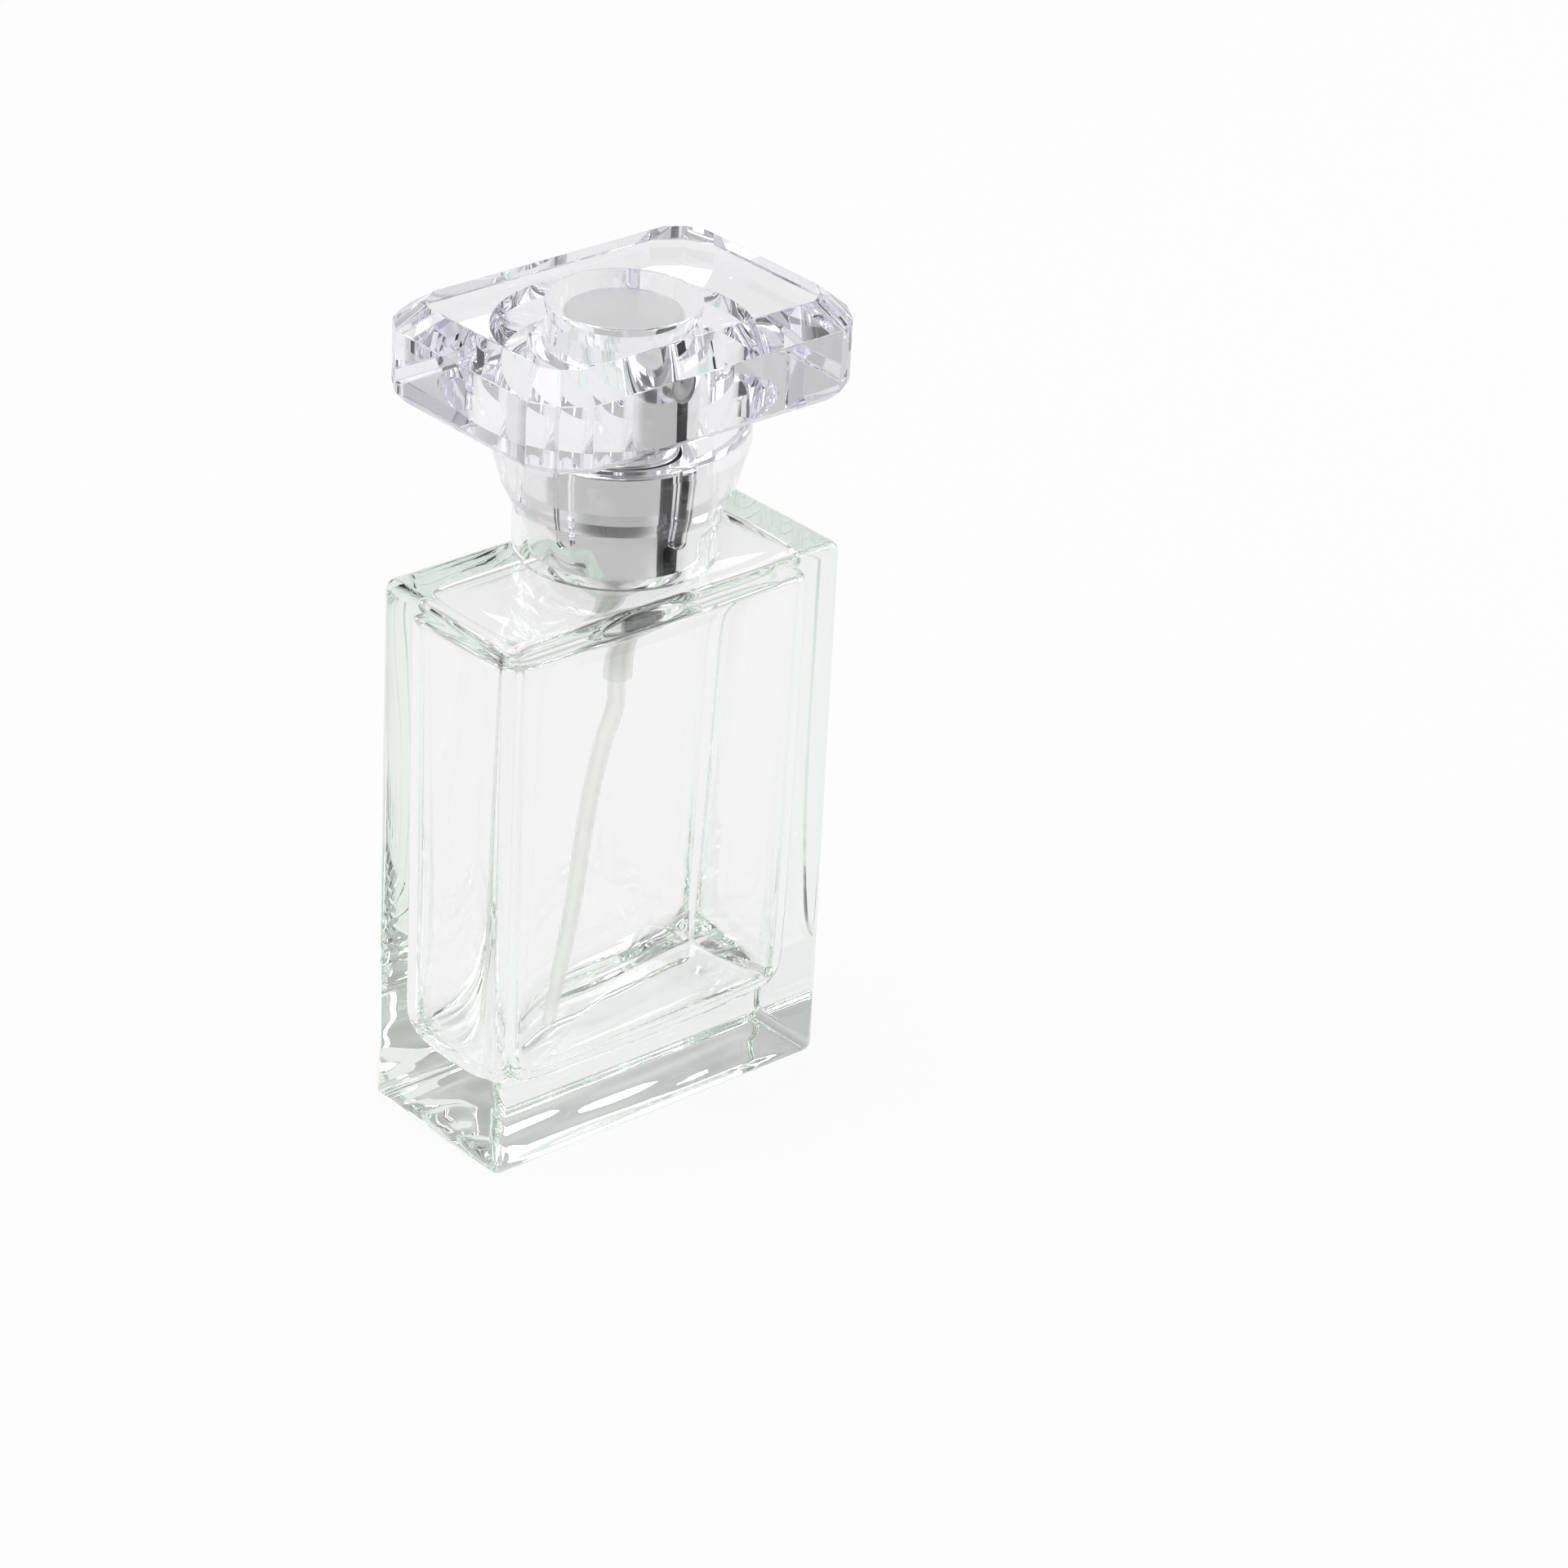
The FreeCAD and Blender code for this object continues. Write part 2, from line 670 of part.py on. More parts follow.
def make_dip_tube():
    """A soft tube pushed into the pump's tail, bent towards a lower corner of the cavity."""
    body = new_body("dip_tube")
    top = TUBE_STOP - sizes.seat_gap
    route = new_sketch(body, "XZ_Plane", "tube_route")
    bend = (TAIL_BOTTOM - sizes.tube_straight).value
    foot = (sizes.base_thickness + sizes.tube_floor_gap).value
    points = [FreeCAD.Vector(0, top.value, 0)]
    points += [FreeCAD.Vector(x, foot + share * (bend - foot), 0) for x, share in TUBE_ROUTE]
    length = draw_route(route, points)
    section = new_sketch(body, "XY_Plane", "tube_section", top)
    inner = sizes.tube_radius - sizes.tube_wall
    draw_circle(section, 0, 0, sizes.tube_radius)
    draw_circle(section, 0, 0, inner)
    pipe = body.newObject("PartDesign::AdditivePipe", "tube")
    pipe.Profile = section
    pipe.Spine = route
    doc.recompute()
    expected = math.pi * (sizes.tube_radius.value ** 2 - inner.value ** 2) * length
    print(f"dip_tube: volume {body.Shape.Volume:.2f} mm3, section times length {expected:.2f} mm3")
    return body


def make_actuator_shell():
    """A drawn aluminium button: a cup upside down with a window for the spray insert."""
    body = turned_piece("actuator_shell", [
        (0, CORE_TOP),
        (SHELL_INNER, CORE_TOP),
        (SHELL_INNER, SHELL_BOTTOM),
        (sizes.actuator_radius, SHELL_BOTTOM),
        (sizes.actuator_radius, SHELL_TOP),
        (0, SHELL_TOP),
    ])
    round_edges(body, "button_edge", sizes.actuator_edge_radius,
                lambda edge: is_ring(edge, sizes.actuator_radius, SHELL_TOP))
    window = new_sketch(body, "XZ_Plane", "nozzle_window")
    draw_circle(window, 0, NOZZLE_HEIGHT, sizes.nozzle_radius + sizes.actuator_side_gap)
    cut_forward(body, window, "nozzle_window_cut")
    return body


def make_actuator_core():
    """The plastic core: a socket on the stem, a channel up and across, and a seat for the insert."""
    socket = sizes.stem_radius + sizes.fit / 2
    channel_top = NOZZLE_HEIGHT + sizes.cross_channel_radius * 2
    groove_inner = socket + sizes.core_groove
    groove_outer = groove_inner + sizes.core_groove
    groove_top = CORE_BOTTOM + sizes.core_groove_depth
    body = turned_piece("actuator_core", [
        (socket, CORE_BOTTOM),
        (groove_inner, CORE_BOTTOM),
        (groove_inner, groove_top),
        (groove_outer, groove_top),
        (groove_outer, CORE_BOTTOM),
        (CORE_RADIUS, CORE_BOTTOM),
        (CORE_RADIUS, CORE_TOP - sizes.fit),
        (0, CORE_TOP - sizes.fit),
        (0, channel_top),
        (sizes.channel_radius, channel_top),
        (sizes.channel_radius, STEM_TOP),
        (socket, STEM_TOP),
    ])
    channel = new_sketch(body, "XZ_Plane", "cross_channel")
    draw_circle(channel, 0, NOZZLE_HEIGHT, sizes.cross_channel_radius)
    cut_forward(body, channel, "cross_channel_cut")
    seat = new_sketch(body, "XZ_Plane", "nozzle_seat", NOZZLE_SEAT)
    draw_circle(seat, 0, NOZZLE_HEIGHT, sizes.nozzle_radius + sizes.fit / 2)
    cut_forward(body, seat, "nozzle_seat_cut")
    return body


def make_spray_insert():
    """The nozzle: a short plug with a dished face and a fine orifice, pointing along -Y."""
    length = sizes.nozzle_length
    body = turned_piece("spray_insert", [
        (sizes.orifice_radius, 0),
        (sizes.nozzle_radius, 0),
        (sizes.nozzle_radius, length),
        (sizes.nozzle_radius - sizes.nozzle_dish, length),
        (sizes.orifice_radius, length - sizes.nozzle_dish),
    ])
    back = -NOZZLE_SEAT - sizes.fit
    place = FreeCAD.Vector(0, back.value, NOZZLE_HEIGHT.value)
    body.Placement = FreeCAD.Placement(place, FreeCAD.Rotation(FreeCAD.Vector(1, 0, 0), 90))
    body.setExpression("Placement.Base.y", back.text)
    body.setExpression("Placement.Base.z", NOZZLE_HEIGHT.text)
    return body


def cut_rectangle(half_x, half_y, corner):
    """A rectangle whose corners are each cut by two facets."""
    middle = corner * CORNER_SHARE
    quarter = [
        (half_x, half_y - corner),
        (half_x - middle, half_y - middle),
        (half_x - corner, half_y),
    ]
    left = [(-x, y) for x, y in reversed(quarter)]
    lower = [(-x, -y) for x, y in quarter + left]
    return quarter + left + lower


def head_sketch(body, name, height, inset_x, inset_y, corner):
    sketch = new_sketch(body, "XY_Plane", name, height)
    half_x = sizes.girdle_width / 2 - inset_x
    half_y = sizes.girdle_depth / 2 - inset_y
    draw_outline(sketch, cut_rectangle(half_x, half_y, corner))
    return sketch


def join_sections(body, name, first, last):
    loft = body.newObject("PartDesign::AdditiveLoft", name)
    loft.Profile = first
    loft.Sections = [last]
    loft.Ruled = True
    doc.recompute()


def make_cap():
    """One clear moulding: a cut head with a flat table over a round flared skirt."""
    body = new_body("cap")
    corner = sizes.girdle_corner
    girdle = head_sketch(body, "girdle_outline", GIRDLE_BOTTOM, 0, 0, corner)
    pad(body, girdle, "girdle", sizes.girdle_height)
    crown = head_sketch(body, "crown_outline", GIRDLE_TOP, 0, 0, corner)
    table = head_sketch(body, "table_outline", TABLE_HEIGHT,
                        sizes.crown_run_x, sizes.crown_run_y, sizes.table_corner)
    join_sections(body, "crown", crown, table)
    bevel_top = head_sketch(body, "bevel_top_outline", GIRDLE_BOTTOM, 0, 0, corner)
    bevel = head_sketch(body, "bevel_outline", HEAD_BOTTOM, sizes.bevel_run, sizes.bevel_run, corner)
    join_sections(body, "lower_bevel", bevel_top, bevel)
    add_skirt(body)
    add_ribs(body)
    return body


def add_skirt(body):
    """Turn the skirt and its flare up into the head, then bore it out in two steps."""
    flare_start = SKIRT_BOTTOM + sizes.flare_start
    ridge = flare_start + sizes.flare_ridge_rise
    turn(body, [
        (0, SKIRT_BOTTOM),
        (sizes.skirt_radius, SKIRT_BOTTOM),
        (sizes.skirt_radius, flare_start),
        (sizes.flare_ridge_radius, ridge),
        (sizes.flare_top_radius, ridge + sizes.flare_top_rise),
        (sizes.flare_top_radius, GIRDLE_BOTTOM),
        (0, GIRDLE_BOTTOM),
    ], "skirt")
    round_edges(body, "flare_sweep", sizes.flare_sweep_radius,
                lambda edge: is_ring(edge, sizes.skirt_radius, flare_start))
    step = COLLAR_TOP + sizes.cap_step_gap
    turn(body, [
        (0, SKIRT_BOTTOM),
        (SKIRT_INNER, SKIRT_BOTTOM),
        (SKIRT_INNER, step),
        (sizes.cap_bore_radius, step),
        (sizes.cap_bore_radius, BORE_ROOF),
        (0, BORE_ROOF),
    ], "cap_bore", "Groove")


def add_ribs(body):
    """Stand round-ended grip ribs inside the skirt, just clear of the collar."""
    face = COLLAR_OUTER + sizes.slide_fit
    low = SKIRT_BOTTOM + sizes.rib_start
    high = COLLAR_TOP + sizes.cap_step_gap
    half = sizes.rib_width / 2
    sketch = new_sketch(body, "XZ_Plane", "rib_front", face)
    right = FreeCAD.Vector(half.value, (low + half).value, 0)
    left = FreeCAD.Vector(-half.value, (low + half).value, 0)
    rise = FreeCAD.Vector(0, (high - low - half).value, 0)
    sketch.addGeometry(Part.LineSegment(right, right + rise), False)
    sketch.addGeometry(Part.LineSegment(right + rise, left + rise), False)
    sketch.addGeometry(Part.LineSegment(left + rise, left), False)
    sketch.addGeometry(Part.Arc(left, FreeCAD.Vector(0, low.value, 0), right), False)
    for line, (x, y) in enumerate([(half, low + half), (half, high), (-half, high)]):
        hold_point(sketch, line, 1, x, y)
    for line in range(4):
        sketch.addConstraint(Sketcher.Constraint("Coincident", line, 2, (line + 1) % 4, 1))
    hold(sketch, Sketcher.Constraint("DistanceY", -1, 1, 2, 2, left.y), low + half)
    hold_point(sketch, 3, 3, 0, low + half)
    rib = pad(body, sketch, "rib", SKIRT_INNER - face + sizes.rib_root)
    pattern = body.newObject("PartDesign::PolarPattern", "ribs")
    pattern.Originals = [rib]
    pattern.Axis = (origin_feature(body, "Z_Axis"), [""])
    pattern.Angle = 360
    pattern.Occurrences = RIB_COUNT
    body.Tip = pattern
    doc.recompute()


pieces = [
    make_glass_bottle(),
    make_neck_gasket(),
    make_crimp_ferrule(),
    make_collar_liner(),
    make_collar_shell(),
    make_pump_body(),
    make_pump_closure(),
    make_inlet_ball(),
    make_piston(),
    make_stem(),
    make_pump_spring(),
    make_dip_tube(),
    make_actuator_shell(),
    make_actuator_core(),
    make_spray_insert(),
    make_cap(),
]
doc.recompute()

for item in doc.Objects:
    if "Invalid" in item.State or "Error" in item.State:
        raise RuntimeError(f"{item.Label} failed: {item.State}")
for piece in pieces:
    shape = piece.Shape
    if shape.isNull() or not shape.isValid() or len(shape.Solids) != 1:
        raise RuntimeError(f"{piece.Label} is not one valid solid")

os.makedirs("parts", exist_ok=True)
for piece in pieces:
    piece.Shape.exportStep(f"parts/{piece.Label}.step")
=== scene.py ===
"""Looks of a clear glass spray bottle with a crimped pump and a cut clear cap, in metres."""
import math

import bmesh
import bpy
from mathutils import Matrix, Vector


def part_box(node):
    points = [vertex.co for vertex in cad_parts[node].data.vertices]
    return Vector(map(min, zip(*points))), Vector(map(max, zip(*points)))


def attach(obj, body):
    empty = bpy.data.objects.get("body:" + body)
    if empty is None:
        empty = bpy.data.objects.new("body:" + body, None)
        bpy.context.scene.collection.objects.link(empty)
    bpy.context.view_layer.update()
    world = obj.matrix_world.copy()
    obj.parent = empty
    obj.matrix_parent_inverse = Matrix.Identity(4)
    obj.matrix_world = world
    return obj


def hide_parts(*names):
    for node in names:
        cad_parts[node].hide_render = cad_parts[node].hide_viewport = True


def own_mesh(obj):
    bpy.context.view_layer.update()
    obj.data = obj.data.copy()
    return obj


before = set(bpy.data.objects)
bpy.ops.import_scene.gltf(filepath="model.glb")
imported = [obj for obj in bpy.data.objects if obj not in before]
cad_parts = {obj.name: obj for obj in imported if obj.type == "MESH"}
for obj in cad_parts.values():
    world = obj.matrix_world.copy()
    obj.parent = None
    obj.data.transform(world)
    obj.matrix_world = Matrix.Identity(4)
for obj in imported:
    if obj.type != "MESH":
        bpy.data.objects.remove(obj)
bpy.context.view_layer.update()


# Glass bottle
# A heavy rectangular bottle of clear soda-lime glass with a crimp neck, blown in a two-part mould.
# The mould leaves a flat outside with small edge radii, and the blown inside is soft and a little wavy.
MM = 0.001
CLOSE = 1e-6
bottle_low, bottle_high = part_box("glass_bottle")
NECK_HEIGHT = 6.0 * MM
NECK_RADIUS = 6.3 * MM
NECK_BORE = 4.7 * MM
NECK_ROOT = 1.2 * MM
NECK_SINK = 0.02 * MM
BEAD_RADIUS = 7.4 * MM
BEAD_HEIGHT = 2.9 * MM
BEAD_ROUND = 0.5 * MM
LIP_GAP = 0.02 * MM
BOTTLE_EDGE = 1.2 * MM
EDGE_STEPS = 8
END_WALL = 3.2 * MM
FACE_WALL = 2.6 * MM
BASE_THICKNESS = 8.5 * MM
SHOULDER_THICKNESS = 2.8 * MM
SHOULDER = bottle_high.z - NECK_HEIGHT
FOOT_WIDTH = 1.4 * MM
PUSH_UP = 0.5 * MM
BASE_CUTS = 18
DOME_SQUARENESS = 4


def deselect_all():
    bpy.ops.object.select_all(action="DESELECT")


def name_piece(name):
    """Name the primitive just added and put its place and scale into its mesh."""
    piece = bpy.context.object
    piece.name = name
    bpy.ops.object.transform_apply(location=True, rotation=True, scale=True)
    return piece


def edit(piece, kind="VERT"):
    """Open a piece alone in edit mode with nothing picked."""
    deselect_all()
    bpy.context.view_layer.objects.active = piece
    piece.select_set(True)
    bpy.ops.object.mode_set(mode="EDIT")
    bpy.ops.mesh.select_mode(type=kind)
    bpy.ops.mesh.select_all(action="DESELECT")


def pick(piece, kind, test):
    """Pick the verts, edges or faces of the piece in edit mode that pass the test."""
    bpy.ops.mesh.select_all(action="DESELECT")
    mesh = bmesh.from_edit_mesh(piece.data)
    for element in getattr(mesh, kind):
        if test(element):
            element.select_set(True)
    bmesh.update_edit_mesh(piece.data)


def bevel_picked(radius, steps):
    bpy.ops.mesh.bevel(offset=radius, segments=steps, affect="EDGES", clamp_overlap=False)


def face_outwards():
    """Turn every face of the piece in edit mode outwards."""
    bpy.ops.mesh.select_all(action="SELECT")
    bpy.ops.mesh.normals_make_consistent(inside=False)


def done():
    bpy.ops.object.mode_set(mode="OBJECT")


def apply_modifier(piece, kind, **settings):
    """Give a piece one modifier with these settings and make its result the mesh."""
    modifier = piece.modifiers.new(kind, kind)
    for name, setting in settings.items():
        setattr(modifier, name, setting)
    deselect_all()
    bpy.context.view_layer.objects.active = piece
    bpy.ops.object.modifier_apply(modifier=modifier.name)


def add_box(name, low, high):
    deselect_all()
    low, high = Vector(low), Vector(high)
    bpy.ops.mesh.primitive_cube_add(size=1, location=(low + high) / 2, scale=high - low)
    return name_piece(name)


def arc_through(before, corner, after, radius, steps):
    """The points of the arc that rounds one corner of a profile."""
    arriving = (before - corner).normalized()
    leaving = (after - corner).normalized()
    half = arriving.angle(leaving) / 2
    middle = corner + (arriving + leaving).normalized() * (radius / math.sin(half))
    reach = radius / math.tan(half)
    start = corner + arriving * reach - middle
    end = corner + leaving * reach - middle
    turn = start.angle(end)
    for step in range(steps + 1):
        share = step / steps
        spoke = start * math.sin((1 - share) * turn) + end * math.sin(share * turn)
        yield middle + spoke / math.sin(turn)


def rounded(corners, steps):
    """Turn (radius, height) or (radius, height, rounding) corners into the points of a profile."""
    spots = [Vector((corner[0], 0, corner[1])) for corner in corners]
    points = []
    for index, corner in enumerate(corners):
        if len(corner) == 2:
            points.append(spots[index])
            continue
        before = spots[index - 1]
        after = spots[(index + 1) % len(spots)]
        points += arc_through(before, spots[index], after, corner[2], steps)
    return points


def lathe(name, corners, turns=160, round_steps=6):
    """Draw a profile by extruding one vertex from corner to corner, then spin it round Z."""
    points = rounded(corners, round_steps)
    deselect_all()
    bpy.ops.mesh.primitive_plane_add(size=MM, location=points[0])
    piece = name_piece(name)
    edit(piece)
    bpy.ops.mesh.select_all(action="SELECT")
    bpy.ops.mesh.merge(type="CENTER")
    for here, there in zip(points, points[1:]):
        bpy.ops.mesh.extrude_region_move(TRANSFORM_OT_translate={"value": there - here})
    if points[0].x > CLOSE:
        pick(piece, "verts", lambda vert: (vert.co - points[0]).length < CLOSE
             or (vert.co - points[-1]).length < CLOSE)
        bpy.ops.mesh.edge_face_add()
    bpy.ops.mesh.select_all(action="SELECT")
    bpy.ops.mesh.spin(steps=turns, angle=2 * math.pi, center=(0, 0, 0), axis=(0, 0, 1))
    bpy.ops.mesh.select_all(action="SELECT")
    bpy.ops.mesh.remove_doubles(threshold=CLOSE)
    face_outwards()
    done()
    return piece


def combine(piece, other, operation):
    """Join or cut a piece by another closed one, which is used up, and clear away slivers."""
    apply_modifier(piece, "BOOLEAN", operation=operation, object=other, solver="EXACT")
    bpy.data.objects.remove(other)
    edit(piece)
    bpy.ops.mesh.select_all(action="SELECT")
    bpy.ops.mesh.remove_doubles(threshold=CLOSE)
    bpy.ops.mesh.dissolve_degenerate(threshold=CLOSE)
    done()


def smooth(piece, angle=30):
    """Shade rounds smoothly and keep flat faces flat up to their edges."""
    deselect_all()
    bpy.context.view_layer.objects.active = piece
    piece.select_set(True)
    bpy.ops.object.shade_smooth_by_angle(angle=math.radians(angle))
    apply_modifier(piece, "WEIGHTED_NORMAL", keep_sharp=True)


bottle = add_box("bottle_clear", bottle_low, (bottle_high.x, bottle_high.y, SHOULDER))
edit(bottle, "EDGE")
bpy.ops.mesh.select_all(action="SELECT")
bevel_picked(BOTTLE_EDGE, EDGE_STEPS)
bpy.ops.mesh.select_mode(type="FACE")
pick(bottle, "faces", lambda face: all(abs(vert.co.z - bottle_low.z) < CLOSE for vert in face.verts))
bpy.ops.mesh.inset(thickness=FOOT_WIDTH)
bpy.ops.mesh.subdivide(number_cuts=BASE_CUTS)
done()

# The ripple of the base's push-up: how many bands there are, how far they are shifted, and their shares.
RIPPLE_SHARE = 0.15
BROAD_BANDS = 6
SNAKE_REACH = 2
SNAKE_TURNS = 2.5
SNAKE_SHIFT = 0.7
FINE_BANDS = 10
FINE_LEAN = 3
FINE_SHIFT = 1
FINE_SHARE = 0.5
foot_x = bottle_high.x - BOTTLE_EDGE - FOOT_WIDTH
foot_y = bottle_high.y - BOTTLE_EDGE - FOOT_WIDTH


def base_ripple(x, y):
    """How the rise of the moulded base varies: broad bands that snake, and finer ones that lean."""
    snake = SNAKE_REACH * math.sin(SNAKE_TURNS * x + SNAKE_SHIFT)
    fine = math.sin(FINE_BANDS * y - FINE_LEAN * x + FINE_SHIFT)
    return math.sin(BROAD_BANDS * y + snake) + FINE_SHARE * fine


for vert in bottle.data.vertices:
    x, y = vert.co.x / foot_x, vert.co.y / foot_y
    if abs(vert.co.z - bottle_low.z) < CLOSE and max(abs(x), abs(y)) < 1:
        dome = math.sqrt((1 - x ** DOME_SQUARENESS) * (1 - y ** DOME_SQUARENESS))
        vert.co.z += PUSH_UP * dome * (1 + RIPPLE_SHARE * base_ripple(x, y))

below = SHOULDER - SHOULDER_THICKNESS / 2
bead_bottom = bottle_high.z - BEAD_HEIGHT
neck = lathe("neck", [
    (0, below),
    (NECK_RADIUS + NECK_ROOT, below),
    (NECK_RADIUS + NECK_ROOT, SHOULDER - NECK_SINK),
    (NECK_RADIUS, SHOULDER - NECK_SINK, NECK_ROOT - NECK_SINK),
    (NECK_RADIUS, bead_bottom),
    (BEAD_RADIUS, bead_bottom, BEAD_ROUND),
    (BEAD_RADIUS, bottle_high.z - LIP_GAP, BEAD_ROUND),
    (0, bottle_high.z - LIP_GAP),
])
combine(bottle, neck, "UNION")

# A small bead that the mould left at the foot of one corner.
MARK_RADIUS = 0.5 * MM
MARK_BOTTOM = 1.6 * MM
MARK_TOP = 4.2 * MM
MARK_INSET = 0.6 * MM
mark = lathe("mould_mark", [
    (0, MARK_BOTTOM),
    (MARK_RADIUS, MARK_BOTTOM, MARK_RADIUS - CLOSE),
    (MARK_RADIUS, MARK_TOP, MARK_RADIUS - CLOSE),
    (0, MARK_TOP),
], turns=32)
mark.location = (bottle_low.x + MARK_INSET, bottle_low.y + MARK_INSET, 0)
name_piece("mould_mark")
combine(bottle, mark, "UNION")

# The smoothing draws the cavity in, so the block that it starts from is larger by CAVITY_SHRINK.
CAVITY_SHRINK = 0.9 * MM
CAVITY_FLOOR_ROUND = 4.5 * MM
CAVITY_ROOF_ROUND = 2.0 * MM
CAVITY_EDGE_ROUND = 4.2 * MM
FLOOR_STEPS = 3
SOFT_STEPS = 2
BLOWN_LEVELS = 3
cavity_x = bottle_high.x - END_WALL + CAVITY_SHRINK
cavity_y = bottle_high.y - FACE_WALL + CAVITY_SHRINK
cavity_low = Vector((-cavity_x, -cavity_y, BASE_THICKNESS - CAVITY_SHRINK))
cavity_high = Vector((cavity_x, cavity_y, SHOULDER - SHOULDER_THICKNESS))
cavity = add_box("cavity", cavity_low, cavity_high)
edit(cavity, "EDGE")
pick(cavity, "edges", lambda edge: all(abs(vert.co.z - cavity_low.z) < CLOSE for vert in edge.verts)
     and abs(edge.verts[0].co.x - edge.verts[1].co.x) < CLOSE)
bevel_picked(CAVITY_FLOOR_ROUND, FLOOR_STEPS)
done()
weights = cavity.data.attributes.new("bevel_weight_edge", "FLOAT", "EDGE")
for edge in cavity.data.edges:
    start, end = (cavity.data.vertices[index].co for index in edge.vertices)
    if min(start.z, end.z) > cavity_high.z - CLOSE:
        weights.data[edge.index].value = CAVITY_ROOF_ROUND / CAVITY_EDGE_ROUND
    elif abs(start.y - end.y) < CLOSE:
        weights.data[edge.index].value = 1.0
apply_modifier(cavity, "BEVEL", limit_method="WEIGHT", width=CAVITY_EDGE_ROUND, segments=SOFT_STEPS)
apply_modifier(cavity, "SUBSURF", levels=BLOWN_LEVELS, render_levels=BLOWN_LEVELS)

# The waves of the blown wall: their lengths in millimetres, how far each is shifted along, and its share.
WAVE_DEPTH = 0.2 * MM
NARROW_WAVE = 4.1
NARROW_SHIFT = 0.8
TALL_WAVE = 9.5
TALL_SHIFT = 0.4
DEEP_WAVE = 6
UPRIGHT_SHARE = 0.5
LEVEL_WAVE = 5.3
WIDE_WAVE = 17
LEVEL_SHIFT = 1.9
LEVEL_SHARE = 0.3
LEAN_WAVE = 7.7
STEEP_WAVE = 13
LEAN_SHIFT = 2.6
LEAN_SHARE = 0.5


def wave(spot):
    """How far the blown wall wanders in or out at a spot: three slow ripples added up."""
    x, y, z = spot / MM
    upright = math.sin(x / NARROW_WAVE + NARROW_SHIFT) * math.sin(z / TALL_WAVE + y / DEEP_WAVE + TALL_SHIFT)
    level = math.sin(z / LEVEL_WAVE + x / WIDE_WAVE + LEVEL_SHIFT)
    lean = math.sin(x / LEAN_WAVE - z / STEEP_WAVE + LEAN_SHIFT)
    return WAVE_DEPTH * (UPRIGHT_SHARE * upright + LEVEL_SHARE * level + LEAN_SHARE * lean)


for vert in cavity.data.vertices:
    vert.co += vert.normal * wave(vert.co)
combine(bottle, cavity, "DIFFERENCE")

bore_low = cavity_high.z - SHOULDER_THICKNESS / 2
bore_top = bottle_high.z + NECK_ROOT
bore = lathe("bore", [(0, bore_low), (NECK_BORE, bore_low), (NECK_BORE, bore_top), (0, bore_top)])
combine(bottle, bore, "DIFFERENCE")
smooth(bottle)


class Wire:
    """A socket in a node tree: arithmetic on it adds Math nodes, and add() adds any other node."""

    def __init__(self, tree, socket=None):
        self.tree = tree
        self.socket = socket

    def add(self, kind, settings=None, values=None, out=0):
        """Add a node, set it up, give its sockets values or wires and return one output."""
        node = self.tree.nodes.new(kind)
        for name, setting in (settings or {}).items():
            setattr(node, name, setting)
        for name, value in (values or {}).items():
            if isinstance(value, Wire):
                self.tree.links.new(value.socket, node.inputs[name])
            else:
                node.inputs[name].default_value = value
        return Wire(self.tree, node.outputs[out])

    def math(self, operation, *values):
        return self.add("ShaderNodeMath", {"operation": operation}, dict(enumerate(values)))

    def __add__(self, other):
        return self.math("ADD", self, other)

    def __sub__(self, other):
        return self.math("SUBTRACT", self, other)

    def __rsub__(self, other):
        return self.math("SUBTRACT", other, self)

    def __mul__(self, other):
        return self.math("MULTIPLY", self, other)

    __radd__ = __add__
    __rmul__ = __mul__

    def other(self, name):
        """Another output of the same node."""
        return Wire(self.tree, self.socket.node.outputs[name])

    def place(self, scale=(1, 1, 1)):
        """The piece's own coordinates in metres, stretched by scale."""
        spot = self.add("ShaderNodeTexCoord", out="Object")
        return self.add("ShaderNodeMapping", values={"Vector": spot, "Scale": scale})

    def noise(self, size, scale=(1, 1, 1), detail=3.0):
        """Cloudy noise from 0 to 1 whose patches are about size metres across."""
        return self.add("ShaderNodeTexNoise", values={
            "Vector": self.place(scale), "Scale": 1 / size, "Detail": detail})

    def blend(self, first, second):
        """Mix two colours by this wire's share from 0 to 1."""
        return self.add("ShaderNodeMix", {"data_type": "RGBA"}, {0: self, 6: first, 7: second}, out=2)

    def feed(self, node, name):
        self.tree.links.new(self.socket, node.inputs[name])


def new_finish(name, **constants):
    """Start a material: its shader node gets the constant values, and a wire to build patterns from."""
    material = bpy.data.materials.new(name)
    material.use_nodes = True
    shader = material.node_tree.nodes["Principled BSDF"]
    for socket, value in constants.items():
        shader.inputs[socket.replace("_", " ")].default_value = value
    return material, shader, Wire(material.node_tree)


def vary_roughness(shader, pattern, smoothest, roughest):
    """Let the roughness run between two values over a pattern from 0 to 1."""
    (smoothest + (roughest - smoothest) * pattern).feed(shader, "Roughness")


def bump(shader, pattern, strength, depth):
    """Raise the surface by a pattern from 0 to 1."""
    normal = pattern.add("ShaderNodeBump", values={
        "Strength": strength, "Distance": depth, "Height": pattern})
    normal.feed(shader, "Normal")


def tint_inside(material, colour, density):
    """Fill a clear piece with a faint colour that deepens with the piece's thickness."""
    wire = Wire(material.node_tree)
    absorbing = wire.add("ShaderNodeVolumeAbsorption", values={"Color": colour, "Density": density})
    absorbing.feed(material.node_tree.nodes["Material Output"], "Volume")


